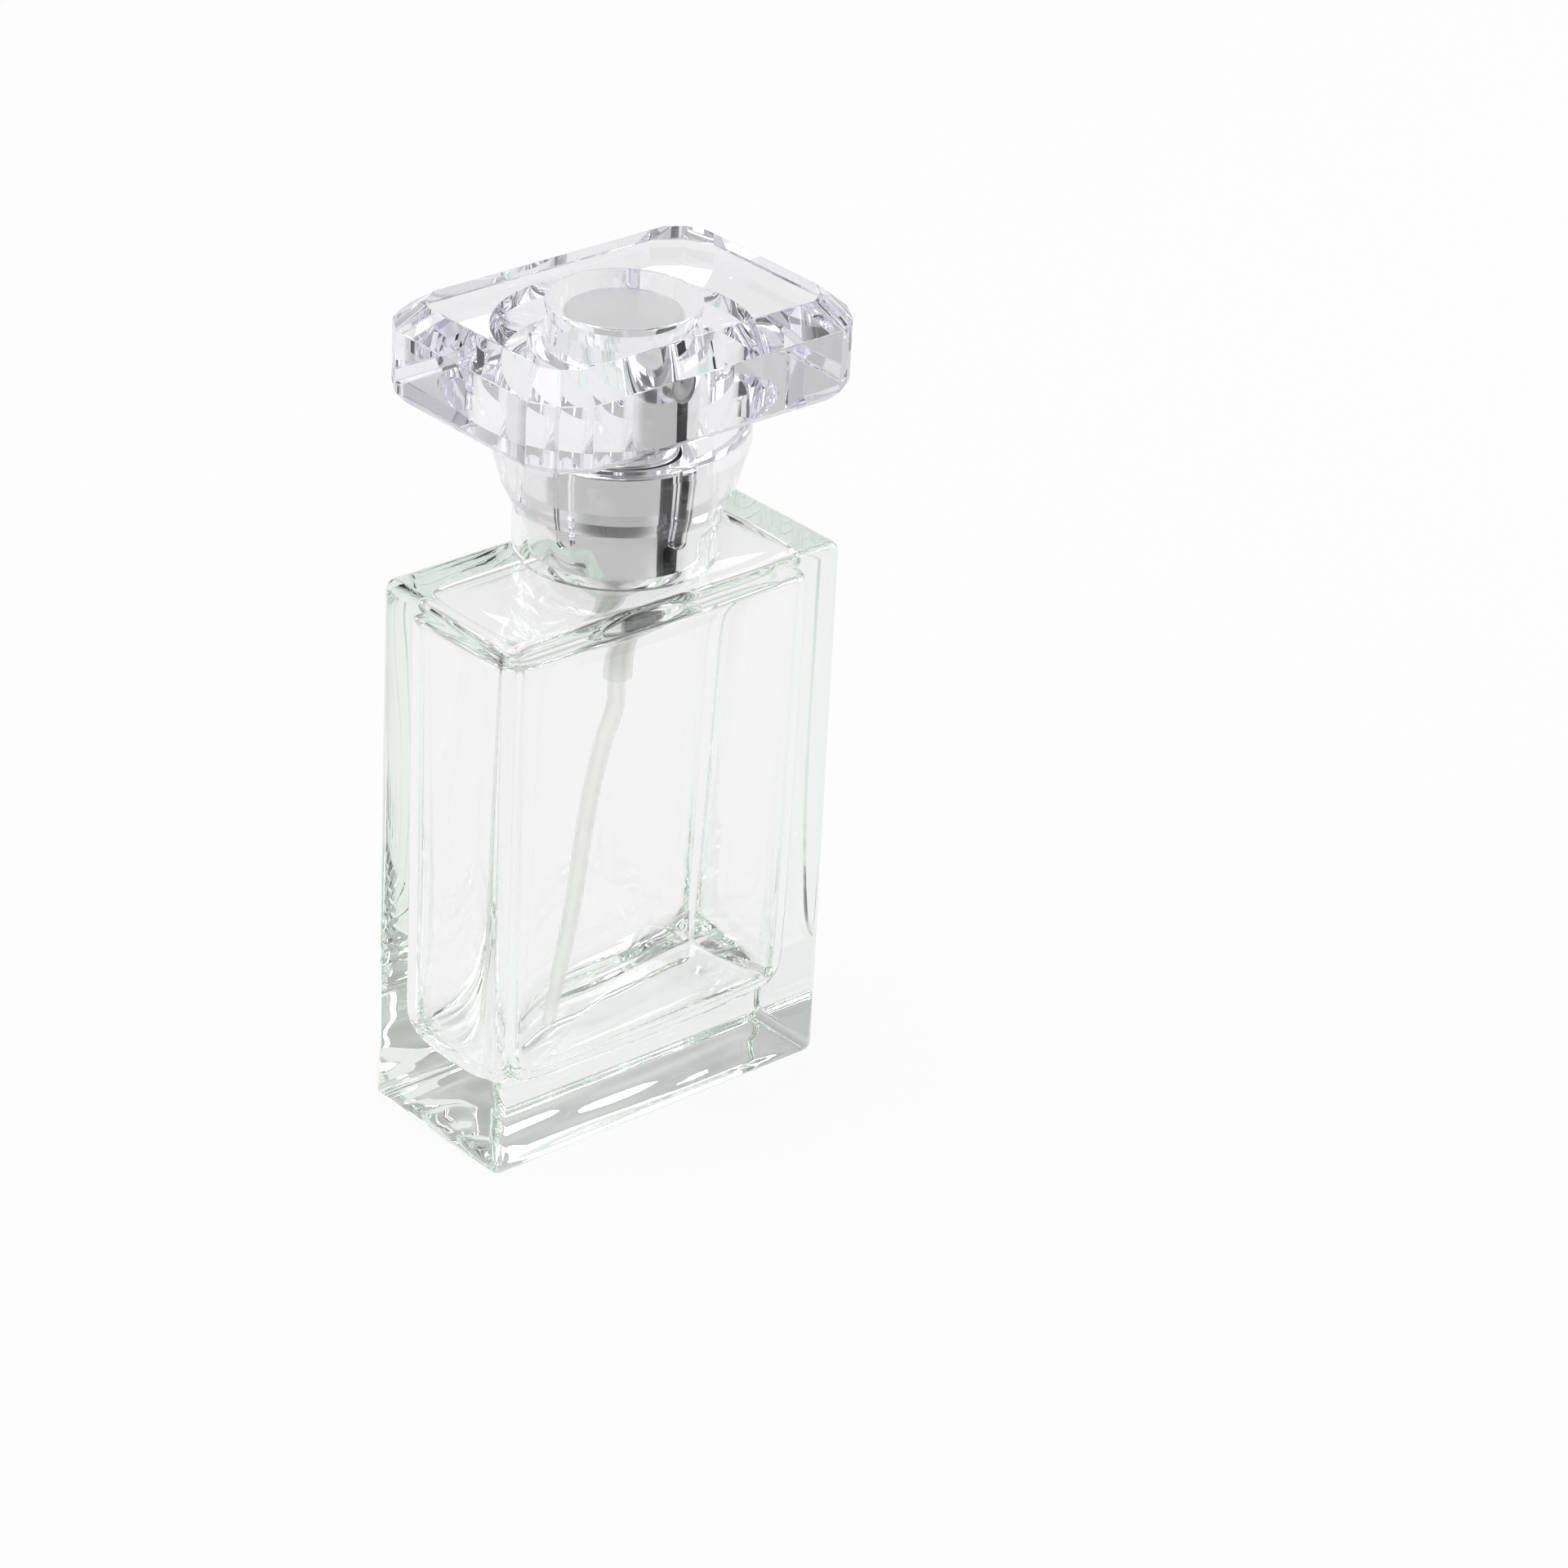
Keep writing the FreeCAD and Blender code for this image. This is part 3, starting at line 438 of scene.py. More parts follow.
def let_lamps_through(material, tint):
    """Let a clear piece dim the lamps' light instead of stopping it."""
    wire = Wire(material.node_tree)
    nodes = material.node_tree.nodes
    surface = Wire(material.node_tree, nodes["Principled BSDF"].outputs[0])
    opening = wire.add("ShaderNodeBsdfTransparent", values={"Color": tint})
    shadow_ray = wire.add("ShaderNodeLightPath", out="Is Shadow Ray")
    mixed = wire.add("ShaderNodeMixShader", values={0: shadow_ray, 1: surface, 2: opening})
    mixed.feed(nodes["Material Output"], "Surface")


def give(piece, material):
    piece.data.materials.clear()
    piece.data.materials.append(material)


def seat(piece, body, node):
    """Tie a finished piece to its body and hide the node that it stands for."""
    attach(piece, body)
    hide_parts(node)


WHITE = (1, 1, 1, 1)
GLASS_TINT = (0.4, 0.74, 0.51, 1)
GLASS_DENSITY = 3.4
GLASS_SHADE = (0.85, 0.88, 0.86, 1)
bottle_glass, shader, wire = new_finish("clear_bottle_glass", Base_Color=WHITE,
                                        Transmission_Weight=1.0, IOR=1.52)
vary_roughness(shader, wire.noise(9 * MM, detail=1.0), smoothest=0.0, roughest=0.012)
bump(shader, wire.noise(11 * MM, scale=(1, 1, 0.5), detail=1.0), strength=0.12, depth=0.3 * MM)
tint_inside(bottle_glass, GLASS_TINT, GLASS_DENSITY)
let_lamps_through(bottle_glass, GLASS_SHADE)
give(bottle, bottle_glass)
seat(bottle, "bottle", "glass_bottle")


# Neck gasket, crimp ferrule and collar liner
# A flat rubber ring seals the lip, a drawn aluminium cup is crimped under the bead to hold the pump,
# and a moulded plastic sleeve is pressed over the cup to carry the bright collar.
RUBBER_DARK = (0.7, 0.7, 0.67, 1)
RUBBER_PALE = (0.78, 0.78, 0.75, 1)
PLASTIC_DARK = (0.92, 0.92, 0.9, 1)
PLASTIC_PALE = (0.97, 0.97, 0.95, 1)


def grey(tone):
    """A neutral colour."""
    return tone, tone, tone, 1


seal_rubber, shader, wire = new_finish("seal_rubber", Roughness=0.7)
grit = wire.noise(0.3 * MM)
grit.blend(RUBBER_DARK, RUBBER_PALE).feed(shader, "Base Color")
bump(shader, grit, strength=0.2, depth=0.02 * MM)
give(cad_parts["neck_gasket"], seal_rubber)

plain_metal, shader, wire = new_finish("plain_aluminium", Metallic=1.0)
drawn = wire.noise(0.4 * MM, scale=(1, 1, 0.1))
drawn.blend(grey(0.88), grey(0.95)).feed(shader, "Base Color")
vary_roughness(shader, drawn, smoothest=0.2, roughest=0.35)
give(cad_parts["crimp_ferrule"], plain_metal)

natural_plastic, shader, wire = new_finish("natural_plastic", IOR=1.49, Transmission_Weight=0.15)
cloud = wire.noise(1.5 * MM)
cloud.blend(PLASTIC_DARK, PLASTIC_PALE).feed(shader, "Base Color")
vary_roughness(shader, cloud, smoothest=0.3, roughest=0.45)
bump(shader, wire.noise(0.5 * MM), strength=0.05, depth=0.02 * MM)
for node in ("collar_liner", "pump_closure", "stem", "actuator_core"):
    give(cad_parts[node], natural_plastic)


# Collar
# A drawn and polished aluminium sleeve that hides the crimp, with a round window for the button.
# It is pressed on the liner and its top edge is rolled over.
collar_low, collar_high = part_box("collar_shell")
COLLAR_SHEET = 0.38 * MM
COLLAR_WINDOW = 6.2 * MM
COLLAR_ROUND = 0.3 * MM
COLLAR_LIP = 0.12 * MM
POLISH = 0.03
collar = lathe("collar_polished", [
    (collar_high.x - COLLAR_SHEET, collar_low.z, COLLAR_LIP),
    (collar_high.x, collar_low.z, COLLAR_LIP),
    (collar_high.x, collar_high.z, COLLAR_ROUND),
    (COLLAR_WINDOW, collar_high.z, COLLAR_LIP),
    (COLLAR_WINDOW, collar_high.z - COLLAR_SHEET, COLLAR_LIP),
    (collar_high.x - COLLAR_SHEET, collar_high.z - COLLAR_SHEET),
], turns=256)
smooth(collar)
polished_metal, shader, wire = new_finish("polished_aluminium", Metallic=1.0)
lines = wire.noise(0.25 * MM, scale=(0.02, 0.02, 1))
smudge = wire.noise(4 * MM)
smudge.blend(grey(0.86), grey(0.92)).feed(shader, "Base Color")
(POLISH * (1 + lines + smudge)).feed(shader, "Roughness")
bump(shader, lines, strength=0.02, depth=0.01 * MM)
give(collar, polished_metal)
seat(collar, "bottle", "collar_shell")


# Pump housing
# One translucent moulding: a flange on the gasket, a bored barrel, the ball's seat and a tail for the tube.
# The ferrule clamps its flange on the neck, and the barrel hangs down inside the bore.
pump_low, pump_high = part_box("pump_body")
TAIL_RADIUS = 1.6 * MM
TAIL_LENGTH = 6.2 * MM
TAIL_CONE = 2.0 * MM
SEAT_RISE = 1.0 * MM
BARREL_RADIUS = 3.9 * MM
BARREL_BORE = 2.6 * MM
BARREL_FLOOR = 56.6 * MM
FLANGE_RADIUS = 6.9 * MM
FLANGE_HEIGHT = 0.9 * MM
TURRET_RADIUS = 4.46 * MM
TURRET_HEIGHT = 2.1 * MM
PLUG_BORE = 3.39 * MM
PLUG_DEPTH = 2.6 * MM
BALL_CAGE = 1.35 * MM
INLET_RADIUS = 0.75 * MM
TUBE_RADIUS = 1.0 * MM
SOCKET_GAP = 0.02 * MM
SOCKET_DEPTH = 5.7 * MM
SOFT_EDGE = 0.15 * MM
PUMP_DARK = (0.95, 0.95, 0.93, 1)
PUMP_PALE = (1, 1, 0.98, 1)
tail_top = pump_low.z + TAIL_LENGTH
seat_bottom = tail_top + SEAT_RISE
tube_stop = pump_low.z + SOCKET_DEPTH
tube_socket = TUBE_RADIUS + SOCKET_GAP
flange_top = pump_high.z - TURRET_HEIGHT
pump = lathe("pump_housing", [
    (tube_socket, pump_low.z),
    (TAIL_RADIUS, pump_low.z, SOFT_EDGE),
    (TAIL_RADIUS, tail_top, 2 * SOFT_EDGE),
    (BARREL_RADIUS, tail_top + TAIL_CONE, 4 * SOFT_EDGE),
    (BARREL_RADIUS, flange_top - FLANGE_HEIGHT),
    (FLANGE_RADIUS, flange_top - FLANGE_HEIGHT, SOFT_EDGE),
    (FLANGE_RADIUS, flange_top, SOFT_EDGE),
    (TURRET_RADIUS, flange_top),
    (TURRET_RADIUS, pump_high.z, SOFT_EDGE),
    (PLUG_BORE, pump_high.z),
    (PLUG_BORE, pump_high.z - PLUG_DEPTH),
    (BARREL_BORE, pump_high.z - PLUG_DEPTH),
    (BARREL_BORE, BARREL_FLOOR),
    (BALL_CAGE, BARREL_FLOOR),
    (BALL_CAGE, seat_bottom + BALL_CAGE - INLET_RADIUS),
    (INLET_RADIUS, seat_bottom),
    (INLET_RADIUS, tube_stop),
    (tube_socket, tube_stop),
], turns=96)
smooth(pump)
pump_plastic, shader, wire = new_finish("pump_plastic", IOR=1.49, Transmission_Weight=0.8, Alpha=0.35)
cloud = wire.noise(1.5 * MM)
cloud.blend(PUMP_DARK, PUMP_PALE).feed(shader, "Base Color")
vary_roughness(shader, cloud, smoothest=0.25, roughest=0.4)
give(pump, pump_plastic)
seat(pump, "bottle", "pump_body")


# Dip tube
# A soft, clear extruded plastic tube, pushed into the socket of the pump's tail up to its stop.
# It keeps a lazy bend from the coil it was cut from, and it ends just above the floor, towards one side.
TUBE_WALL = 0.35 * MM
TUBE_SEAT_GAP = 0.05 * MM
TUBE_DARK = (0.97, 0.97, 0.94, 1)
TUBE_PALE = (1, 1, 0.98, 1)
# The bends of the tube's middle line below its stop, sideways and up, in millimetres.
TUBE_ROUTE = [(0, 49.0), (0, 46.0), (0, 43.6), (-1.9, 40.15), (-4.2, 30.71), (-5.6, 19.86), (-9.0, 9.4)]
route = [Vector((0, 0, tube_stop - TUBE_SEAT_GAP))]
route += [Vector((x, 0, z)) * MM for x, z in TUBE_ROUTE]
deselect_all()
bpy.ops.curve.primitive_nurbs_path_add(radius=MM)
curve = bpy.context.object.data
spline = curve.splines[0]
spline.points.add(len(route) - len(spline.points))
for point, spot in zip(spline.points, route):
    point.co = (*spot, 1)
spline.order_u = 3
spline.use_endpoint_u = True
curve.resolution_u = 16
curve.bevel_depth = TUBE_RADIUS
curve.bevel_resolution = 6
bpy.ops.object.convert(target="MESH")
tube = name_piece("dip_tube_bent")
apply_modifier(tube, "SOLIDIFY", thickness=TUBE_WALL, offset=-1)
edit(tube)
face_outwards()
done()
smooth(tube)
soft_plastic, shader, wire = new_finish("soft_plastic", IOR=1.5, Transmission_Weight=0.92, Alpha=0.28)
cloud = wire.noise(2 * MM, scale=(1, 1, 0.3))
cloud.blend(TUBE_DARK, TUBE_PALE).feed(shader, "Base Color")
vary_roughness(shader, cloud, smoothest=0.25, roughest=0.4)
give(tube, soft_plastic)
seat(tube, "bottle", "dip_tube")
give(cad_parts["piston"], soft_plastic)


# Inlet ball and pump spring
# A steel ball closes the inlet under the piston.
# The spring is hard-drawn steel wire wound in five and a half turns, and it lifts the stem after a press.
spring_low, spring_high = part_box("pump_spring")
WIRE_RADIUS = 0.225 * MM
WIRE_SIDES = 14
COIL_RADIUS = 1.95 * MM
COIL_TURNS = 5.5
TURN_STEPS = 40
STEEL_DARK = (0.5, 0.5, 0.52, 1)
STEEL_PALE = (0.66, 0.66, 0.68, 1)
steel, shader, wire = new_finish("bright_steel", Metallic=1.0)
drawn = wire.noise(0.2 * MM)
drawn.blend(STEEL_DARK, STEEL_PALE).feed(shader, "Base Color")
vary_roughness(shader, drawn, smoothest=0.15, roughest=0.3)
give(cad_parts["inlet_ball"], steel)
coil_start = (COIL_RADIUS, 0, spring_low.z + WIRE_RADIUS)
coil_rise = spring_high.z - spring_low.z - 2 * WIRE_RADIUS
coil_steps = round(COIL_TURNS * TURN_STEPS)
deselect_all()
bpy.ops.mesh.primitive_circle_add(vertices=WIRE_SIDES, radius=WIRE_RADIUS, location=coil_start,
                                  rotation=(math.pi / 2, 0, 0))
spring = name_piece("pump_spring_wound")
apply_modifier(spring, "SCREW", axis="Z", angle=COIL_TURNS * 2 * math.pi, screw_offset=coil_rise,
               steps=coil_steps, render_steps=coil_steps)
edit(spring)
bpy.ops.mesh.select_all(action="SELECT")
bpy.ops.mesh.fill_holes(sides=0)
face_outwards()
done()
smooth(spring, angle=40)
give(spring, steel)
seat(spring, "bottle", "pump_spring")
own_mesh(spring)


# Spray button
# A drawn aluminium cup pressed over the plastic core, its flat top satin and its rolled edge bright.
# A round window in its side lets the spray out.
button_low, button_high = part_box("actuator_shell")
BUTTON_RADIUS = button_high.x
BUTTON_SHEET = 0.4 * MM
BUTTON_EDGE = 0.35 * MM
SATIN_RADIUS = 5.55 * MM
SATIN_DEPTH = 0.02 * MM
BRIGHT_ROUGHNESS = 0.06
GRAIN_ROUGHNESS = 0.03
SATIN_ROUGHNESS = 0.12
NOZZLE_HEIGHT = 82.1 * MM
NOZZLE_RADIUS = 1.7 * MM
NOZZLE_GAP = 0.2 * MM
WINDOW_SIDES = 64
button = lathe("button_drawn", [
    (0, button_high.z - BUTTON_SHEET),
    (BUTTON_RADIUS - BUTTON_SHEET, button_high.z - BUTTON_SHEET, BUTTON_SHEET / 2),
    (BUTTON_RADIUS - BUTTON_SHEET, button_low.z),
    (BUTTON_RADIUS, button_low.z, BUTTON_SHEET / 4),
    (BUTTON_RADIUS, button_high.z, BUTTON_EDGE),
    (0, button_high.z),
], turns=192)
deselect_all()
bpy.ops.mesh.primitive_cylinder_add(
    vertices=WINDOW_SIDES, radius=NOZZLE_RADIUS + NOZZLE_GAP, depth=BUTTON_RADIUS,
    location=(0, -BUTTON_RADIUS, NOZZLE_HEIGHT), rotation=(math.pi / 2, 0, 0))
window = name_piece("window")
combine(button, window, "DIFFERENCE")
smooth(button)
button_metal, shader, wire = new_finish("satin_button_aluminium", Metallic=1.0)
spot = wire.add("ShaderNodeSeparateXYZ", values={"Vector": wire.place()})
across = spot.math("SQRT", spot * spot + spot.other("Y") * spot.other("Y"))
on_top = spot.math("GREATER_THAN", spot.other("Z"), button_high.z - SATIN_DEPTH)
satin = on_top * spot.math("LESS_THAN", across, SATIN_RADIUS)
grain = wire.noise(0.15 * MM)
grain.blend(grey(0.84), grey(0.9)).feed(shader, "Base Color")
(BRIGHT_ROUGHNESS + GRAIN_ROUGHNESS * grain + SATIN_ROUGHNESS * satin).feed(shader, "Roughness")
bump(shader, grain * satin, strength=0.15, depth=0.01 * MM)
give(button, button_metal)
seat(button, "actuator", "actuator_shell")


# Spray insert
# A small moulded plastic nozzle whose face is dished round its fine hole.
# It is pressed into the core through the button's window, so it turns with the button.
insert_low, insert_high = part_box("spray_insert")
INSERT_DISH = 0.6 * MM
HOLE_RADIUS = 0.2 * MM
insert_length = insert_high.y - insert_low.y
insert = lathe("spray_insert_dished", [
    (HOLE_RADIUS, 0),
    (NOZZLE_RADIUS, 0),
    (NOZZLE_RADIUS, insert_length, SOFT_EDGE),
    (NOZZLE_RADIUS - INSERT_DISH, insert_length, SOFT_EDGE),
    (2 * HOLE_RADIUS, insert_length - INSERT_DISH, SOFT_EDGE),
    (HOLE_RADIUS, insert_length - INSERT_DISH),
], turns=64)
insert.rotation_euler = (math.pi / 2, 0, 0)
insert.location = (0, insert_high.y, NOZZLE_HEIGHT)
name_piece("spray_insert_dished")
smooth(insert)
give(insert, natural_plastic)
seat(insert, "actuator", "spray_insert")


# Cap
# One clear acrylic moulding: a cut head with a flat table over a round flared skirt, bored out in two steps.
# Its edges are crisp and polished, and five round-ended ribs inside the skirt grip the collar.
cap_low, cap_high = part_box("cap")
GIRDLE_CORNER = 4.6 * MM
TABLE_CORNER = 3.0 * MM
CORNER_SHARE = 0.38
CROWN_HEIGHT = 2.35 * MM
CROWN_RUN_X = 2.7 * MM
CROWN_RUN_Y = 3.2 * MM
GIRDLE_HEIGHT = 6.55 * MM
BEVEL_HEIGHT = 0.9 * MM
BEVEL_RUN = 0.8 * MM
FACET_EDGE = 0.1 * MM
FACET_STEPS = 2
SKIRT_RADIUS = 10.4 * MM
SKIRT_INNER = 9.4 * MM
FLARE_START = 66.4 * MM
FLARE_SWEEP = 6.0 * MM
RIDGE_RADIUS = 11.75 * MM
RIDGE_HEIGHT = 68.9 * MM
FLARE_RADIUS = 13.1 * MM
FLARE_TOP = 73.8 * MM
CAP_BORE = 7.8 * MM
BORE_ROOF = 87.35 * MM
BORE_STEP = 73.9 * MM
CUT_PAST = 1.0 * MM
RIB_COUNT = 5
RIB_WIDTH = 1.45 * MM
RIB_FACE = 8.87 * MM
RIB_ROOT = 0.3 * MM
RIB_START = 3.5 * MM
RIB_STEPS = 10
ACRYLIC_TINT = (0.72, 0.66, 0.92, 1)
ACRYLIC_DENSITY = 4.0
ACRYLIC_SHADE = (0.9, 0.9, 0.92, 1)
girdle_top = cap_high.z - CROWN_HEIGHT
girdle_bottom = girdle_top - GIRDLE_HEIGHT


def cut_outline(inset_x, inset_y, corner):
    """A rectangle inside the girdle whose corners are each cut by two facets."""
    half_x = cap_high.x - inset_x
    half_y = cap_high.y - inset_y
    middle = corner * CORNER_SHARE
    quarter = [(half_x, half_y - corner), (half_x - middle, half_y - middle), (half_x - corner, half_y)]
    left = [(-x, y) for x, y in reversed(quarter)]
    return [Vector(spot) for spot in quarter + left] + [-Vector(spot) for spot in quarter + left]


def reshape(piece, before, after, height):
    """Move the picked ring of verts from one outline to another at a height."""
    mesh = bmesh.from_edit_mesh(piece.data)
    for vert in mesh.verts:
        if vert.select:
            corner = min(range(len(before)), key=lambda index: (before[index] - vert.co.xy).length)
            vert.co = (*after[corner], height)
    bmesh.update_edit_mesh(piece.data)


girdle = cut_outline(0, 0, GIRDLE_CORNER)
under = cut_outline(BEVEL_RUN, BEVEL_RUN, GIRDLE_CORNER)
table = cut_outline(CROWN_RUN_X, CROWN_RUN_Y, TABLE_CORNER)
deselect_all()
bpy.ops.mesh.primitive_circle_add(vertices=len(girdle), radius=SKIRT_RADIUS, fill_type="NGON")
cap = name_piece("cap_cut")
edit(cap)
circle = [vert.co.xy for vert in bmesh.from_edit_mesh(cap.data).verts]
circle = sorted(circle, key=lambda spot: math.atan2(spot.y, spot.x) % (2 * math.pi))
bpy.ops.mesh.select_all(action="SELECT")
reshape(cap, circle, under, girdle_bottom - BEVEL_HEIGHT)
outline = under
for ring, height in ((girdle, girdle_bottom), (girdle, girdle_top), (table, cap_high.z)):
    bpy.ops.mesh.extrude_region_move()
    reshape(cap, outline, ring, height)
    outline = ring
face_outwards()
bevel_picked(FACET_EDGE, FACET_STEPS)
done()

flare = lathe("flare", [
    (0, cap_low.z),
    (SKIRT_RADIUS, cap_low.z, SOFT_EDGE),
    (SKIRT_RADIUS, FLARE_START, FLARE_SWEEP),
    (RIDGE_RADIUS, RIDGE_HEIGHT, SOFT_EDGE),
    (FLARE_RADIUS, FLARE_TOP, SOFT_EDGE),
    (FLARE_RADIUS, girdle_bottom),
    (0, girdle_bottom),
], turns=240, round_steps=10)
combine(cap, flare, "UNION")
hollow = lathe("hollow", [
    (0, cap_low.z - CUT_PAST),
    (SKIRT_INNER, cap_low.z - CUT_PAST),
    (SKIRT_INNER, BORE_STEP, SOFT_EDGE),
    (CAP_BORE, BORE_STEP, SOFT_EDGE),
    (CAP_BORE, BORE_ROOF, 2 * SOFT_EDGE),
    (0, BORE_ROOF),
], turns=240)
combine(cap, hollow, "DIFFERENCE")
for number in range(RIB_COUNT):
    rib = add_box("rib", (-RIB_WIDTH / 2, -SKIRT_INNER - RIB_ROOT, cap_low.z + RIB_START),
                  (RIB_WIDTH / 2, -RIB_FACE, BORE_STEP + RIB_ROOT))
    edit(rib, "EDGE")
    pick(rib, "edges", lambda edge: abs(edge.verts[0].co.x - edge.verts[1].co.x) < CLOSE
         and all(vert.co.z < BORE_STEP for vert in edge.verts))
    bevel_picked(RIB_WIDTH / 2 - CLOSE, RIB_STEPS)
    done()
    rib.rotation_euler.z = 2 * math.pi * number / RIB_COUNT
    name_piece("rib")
    combine(cap, rib, "UNION")
smooth(cap)
clear_acrylic, shader, wire = new_finish("clear_acrylic", Base_Color=WHITE,
                                         Transmission_Weight=1.0, IOR=1.49)
vary_roughness(shader, wire.noise(5 * MM, detail=1.0), smoothest=0.0, roughest=0.008)
bump(shader, wire.noise(7 * MM, detail=0.0), strength=0.05, depth=0.1 * MM)
tint_inside(clear_acrylic, ACRYLIC_TINT, ACRYLIC_DENSITY)
let_lamps_through(clear_acrylic, ACRYLIC_SHADE)
give(cap, clear_acrylic)
seat(cap, "lid", "cap")


# Studio
# A sheet of pale paper for a floor and a white surround, under three soft lamps.
# The camera sees the surround white, and the polished and clear pieces see it dimmer, as in a real room.
TARGET = Vector((0, 0, 43 * MM))
AZIMUTH = math.radians(-42.447)
ELEVATION = math.radians(27.980)
ROLL = math.radians(3.089)
DISTANCE = 560.508 * MM
SIDEWAYS = 17.663 * MM
UPWARDS = -7.630 * MM
FOCAL_LENGTH = 127.208
CLIP_START = 0.01
back = Vector((math.sin(AZIMUTH) * math.cos(ELEVATION), -math.cos(AZIMUTH) * math.cos(ELEVATION),
               math.sin(ELEVATION)))
level = Vector((math.cos(AZIMUTH), math.sin(AZIMUTH), 0))
upright = back.cross(level)
right = level * math.cos(ROLL) + upright * math.sin(ROLL)
up = upright * math.cos(ROLL) - level * math.sin(ROLL)
camera_data = bpy.data.cameras.new("photo_camera")
camera_data.lens = FOCAL_LENGTH
camera_data.clip_start = CLIP_START
camera = bpy.data.objects.new("photo_camera", camera_data)
bpy.context.scene.collection.objects.link(camera)
place = TARGET + right * SIDEWAYS + up * UPWARDS + back * DISTANCE
turned = Matrix((right, up, back)).transposed().to_4x4()
camera.matrix_world = Matrix.Translation(place) @ turned
bpy.context.scene.camera = camera


def seen_rays(wire):
    """The rays that show the surround: straight to the camera, and mirrored or through glass."""
    camera_ray = wire.add("ShaderNodeLightPath", out="Is Camera Ray")
    glossy_ray = camera_ray.other("Is Glossy Ray")
    return camera_ray, glossy_ray.math("MAXIMUM", glossy_ray, camera_ray.other("Is Transmission Ray"))


def along(wire, spot, direction):
    """How far a spot lies along a direction."""
    return wire.add("ShaderNodeVectorMath", {"operation": "DOT_PRODUCT"}, {0: spot, 1: direction},
                    out="Value")


def ease(wire, value, start, end, low=0.0, high=1.0):
    """Run smoothly from low to high while a value goes from start to end."""
    return wire.add("ShaderNodeMapRange", {"interpolation_type": "SMOOTHSTEP"}, {
        "Value": value, "From Min": start, "From Max": end, "To Min": low, "To Max": high})


FLOOR_SIZE = 8.0
FLOOR_DROP = 0.2 * MM
PAPER_TONE = 0.85
GLOW_SHARE = 0.8
NEAR_FLOOR_START = 0.02
NEAR_FLOOR_END = 0.12
FAR_FLOOR_GLOW = 0.91
NEAR_FLOOR_GLOW = 0.52
deselect_all()
bpy.ops.mesh.primitive_plane_add(size=FLOOR_SIZE, location=(0, 0, -FLOOR_DROP))
floor = name_piece("floor")
floor_paper, paper, wire = new_finish("floor_paper", Base_Color=grey(PAPER_TONE), Roughness=1.0,
                                      Specular_IOR_Level=0.0)
camera_ray, mirrored = seen_rays(wire)
# The floor's glow is painted light: the camera sees it evenly white, and mirrored and refracted rays see it
# painted dimmer on the side towards the camera.
forward = along(wire, wire.place(), back)
painted_floor_glow = ease(wire, forward, NEAR_FLOOR_START, NEAR_FLOOR_END, FAR_FLOOR_GLOW, NEAR_FLOOR_GLOW)
glow = wire.add("ShaderNodeEmission", values={"Strength": painted_floor_glow + camera_ray * (1.0 - painted_floor_glow)})
glow_share = camera_ray.math("MAXIMUM", camera_ray, mirrored) * GLOW_SHARE
paper_light = Wire(wire.tree, paper.outputs[0])
mixed = wire.add("ShaderNodeMixShader", values={0: glow_share, 1: paper_light, 2: glow})
mixed.feed(wire.tree.nodes["Material Output"], "Surface")
give(floor, floor_paper)

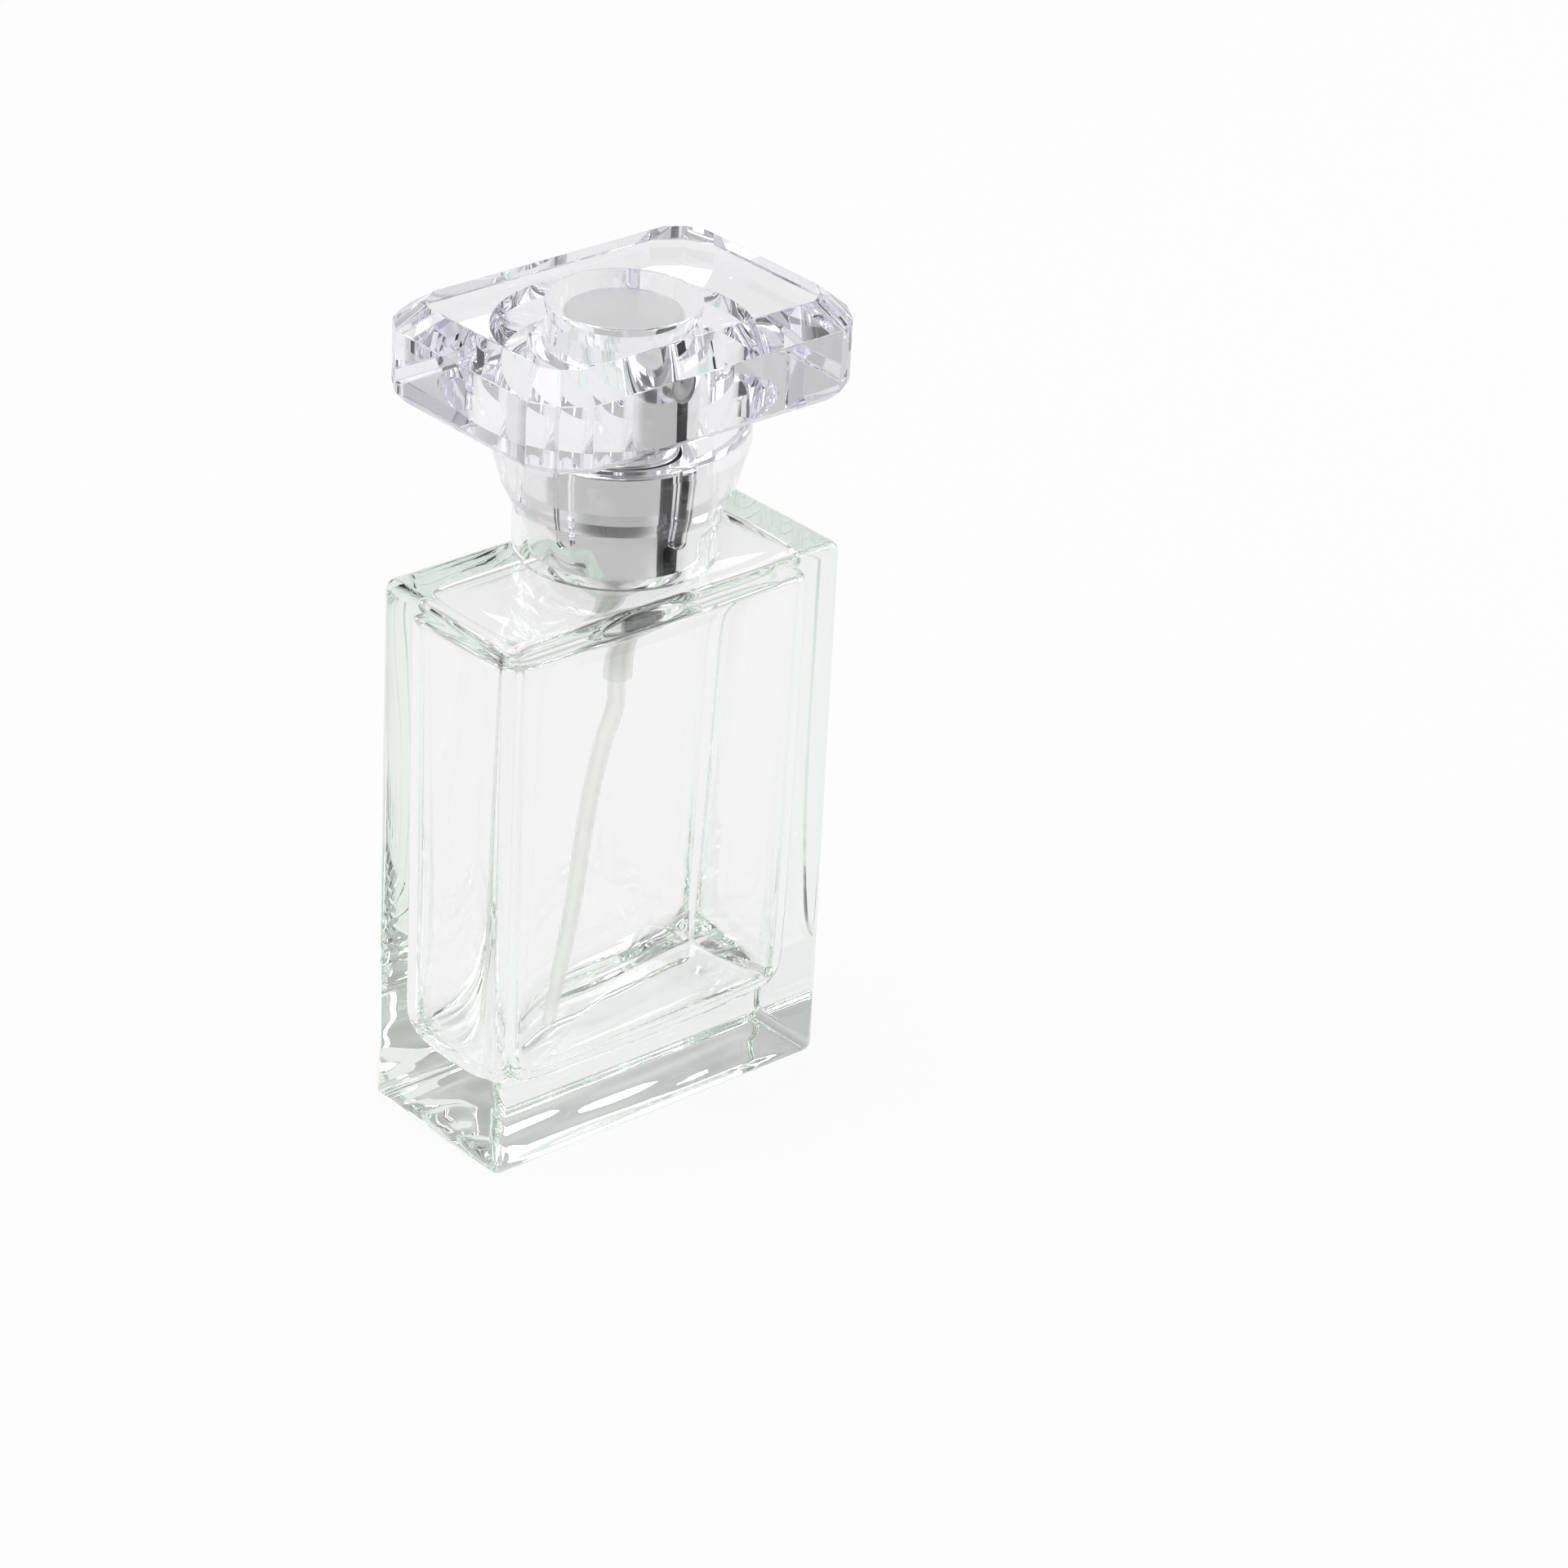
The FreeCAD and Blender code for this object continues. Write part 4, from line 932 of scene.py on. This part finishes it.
FILL_LIGHT = 0.6
ROOM_TONE = 0.82
SIDE_DIMMING = 0.1
TOP_DIMMING = 0.45
CAMERA_SIDE_DIMMING = 0.8
CAMERA_SIDE_START = 0.55
CAMERA_SIDE_END = 0.9
world = bpy.data.worlds.new("white_surround")
bpy.context.scene.world = world
world.use_nodes = True
wire = Wire(world.node_tree)
background = world.node_tree.nodes["Background"]
background.inputs["Color"].default_value = WHITE
camera_ray, mirrored = seen_rays(wire)
way = wire.add("ShaderNodeTexCoord", out="Generated")
sideways = along(wire, way, level)
height = wire.add("ShaderNodeSeparateXYZ", values={"Vector": way}).other("Z")
behind_camera = ease(wire, along(wire, way, back), CAMERA_SIDE_START, CAMERA_SIDE_END)
dimming = SIDE_DIMMING * (sideways * sideways) + TOP_DIMMING * height.math("MAXIMUM", height, 0.0)
room = (ROOM_TONE - dimming) * (1.0 - CAMERA_SIDE_DIMMING * behind_camera)
lighting = FILL_LIGHT + mirrored * (room - FILL_LIGHT)
(lighting + camera_ray * (1.0 - lighting)).feed(background, "Strength")

LAMP_DISTANCE = 0.9


def add_softbox(name, toward, size, power):
    """Hang a square soft lamp in a direction from the bottle and aim it back."""
    lamp_data = bpy.data.lights.new(name, "AREA")
    lamp_data.size = size
    lamp_data.energy = power
    lamp = bpy.data.objects.new(name, lamp_data)
    bpy.context.scene.collection.objects.link(lamp)
    direction = Vector(toward).normalized()
    lamp.location = TARGET + direction * LAMP_DISTANCE
    lamp.rotation_euler = direction.to_track_quat("Z", "Y").to_euler()
    lamp.visible_camera = False


add_softbox("top_lamp", toward=(-0.5, 0.2, 1.0), size=0.6, power=3.0)
add_softbox("back_lamp", toward=(0.47, 0.52, 0.82), size=0.36, power=1.0)
add_softbox("side_lamp", toward=(0.9, -0.3, 0.6), size=0.5, power=2.0)

# A black bar out of the camera's sight gives the polished and clear pieces their dark lines.
BAR_RADIUS = 9 * MM
BAR_TONE = 0.03
bar_foot = Vector((13.5, -36, 50)) * MM
bar_top = Vector((9.5, -32, 74)) * MM
lean = bar_top - bar_foot
deselect_all()
bpy.ops.mesh.primitive_cylinder_add(radius=BAR_RADIUS, depth=lean.length, location=(bar_foot + bar_top) / 2,
                                    rotation=lean.to_track_quat("Z", "Y").to_euler())
bar = name_piece("dark_bar")
bar.visible_camera = False
bar.visible_shadow = False
bar.visible_diffuse = False
bar_black, shader, wire = new_finish("bar_black", Base_Color=grey(BAR_TONE), Roughness=1.0,
                                     Specular_IOR_Level=0.0)
give(bar, bar_black)

# Light crosses many walls of glass and acrylic on its way to the camera.
cycles = bpy.context.scene.cycles
cycles.max_bounces = 32
cycles.glossy_bounces = 24
cycles.transmission_bounces = 32
bpy.context.scene.view_settings.view_transform = "Standard"
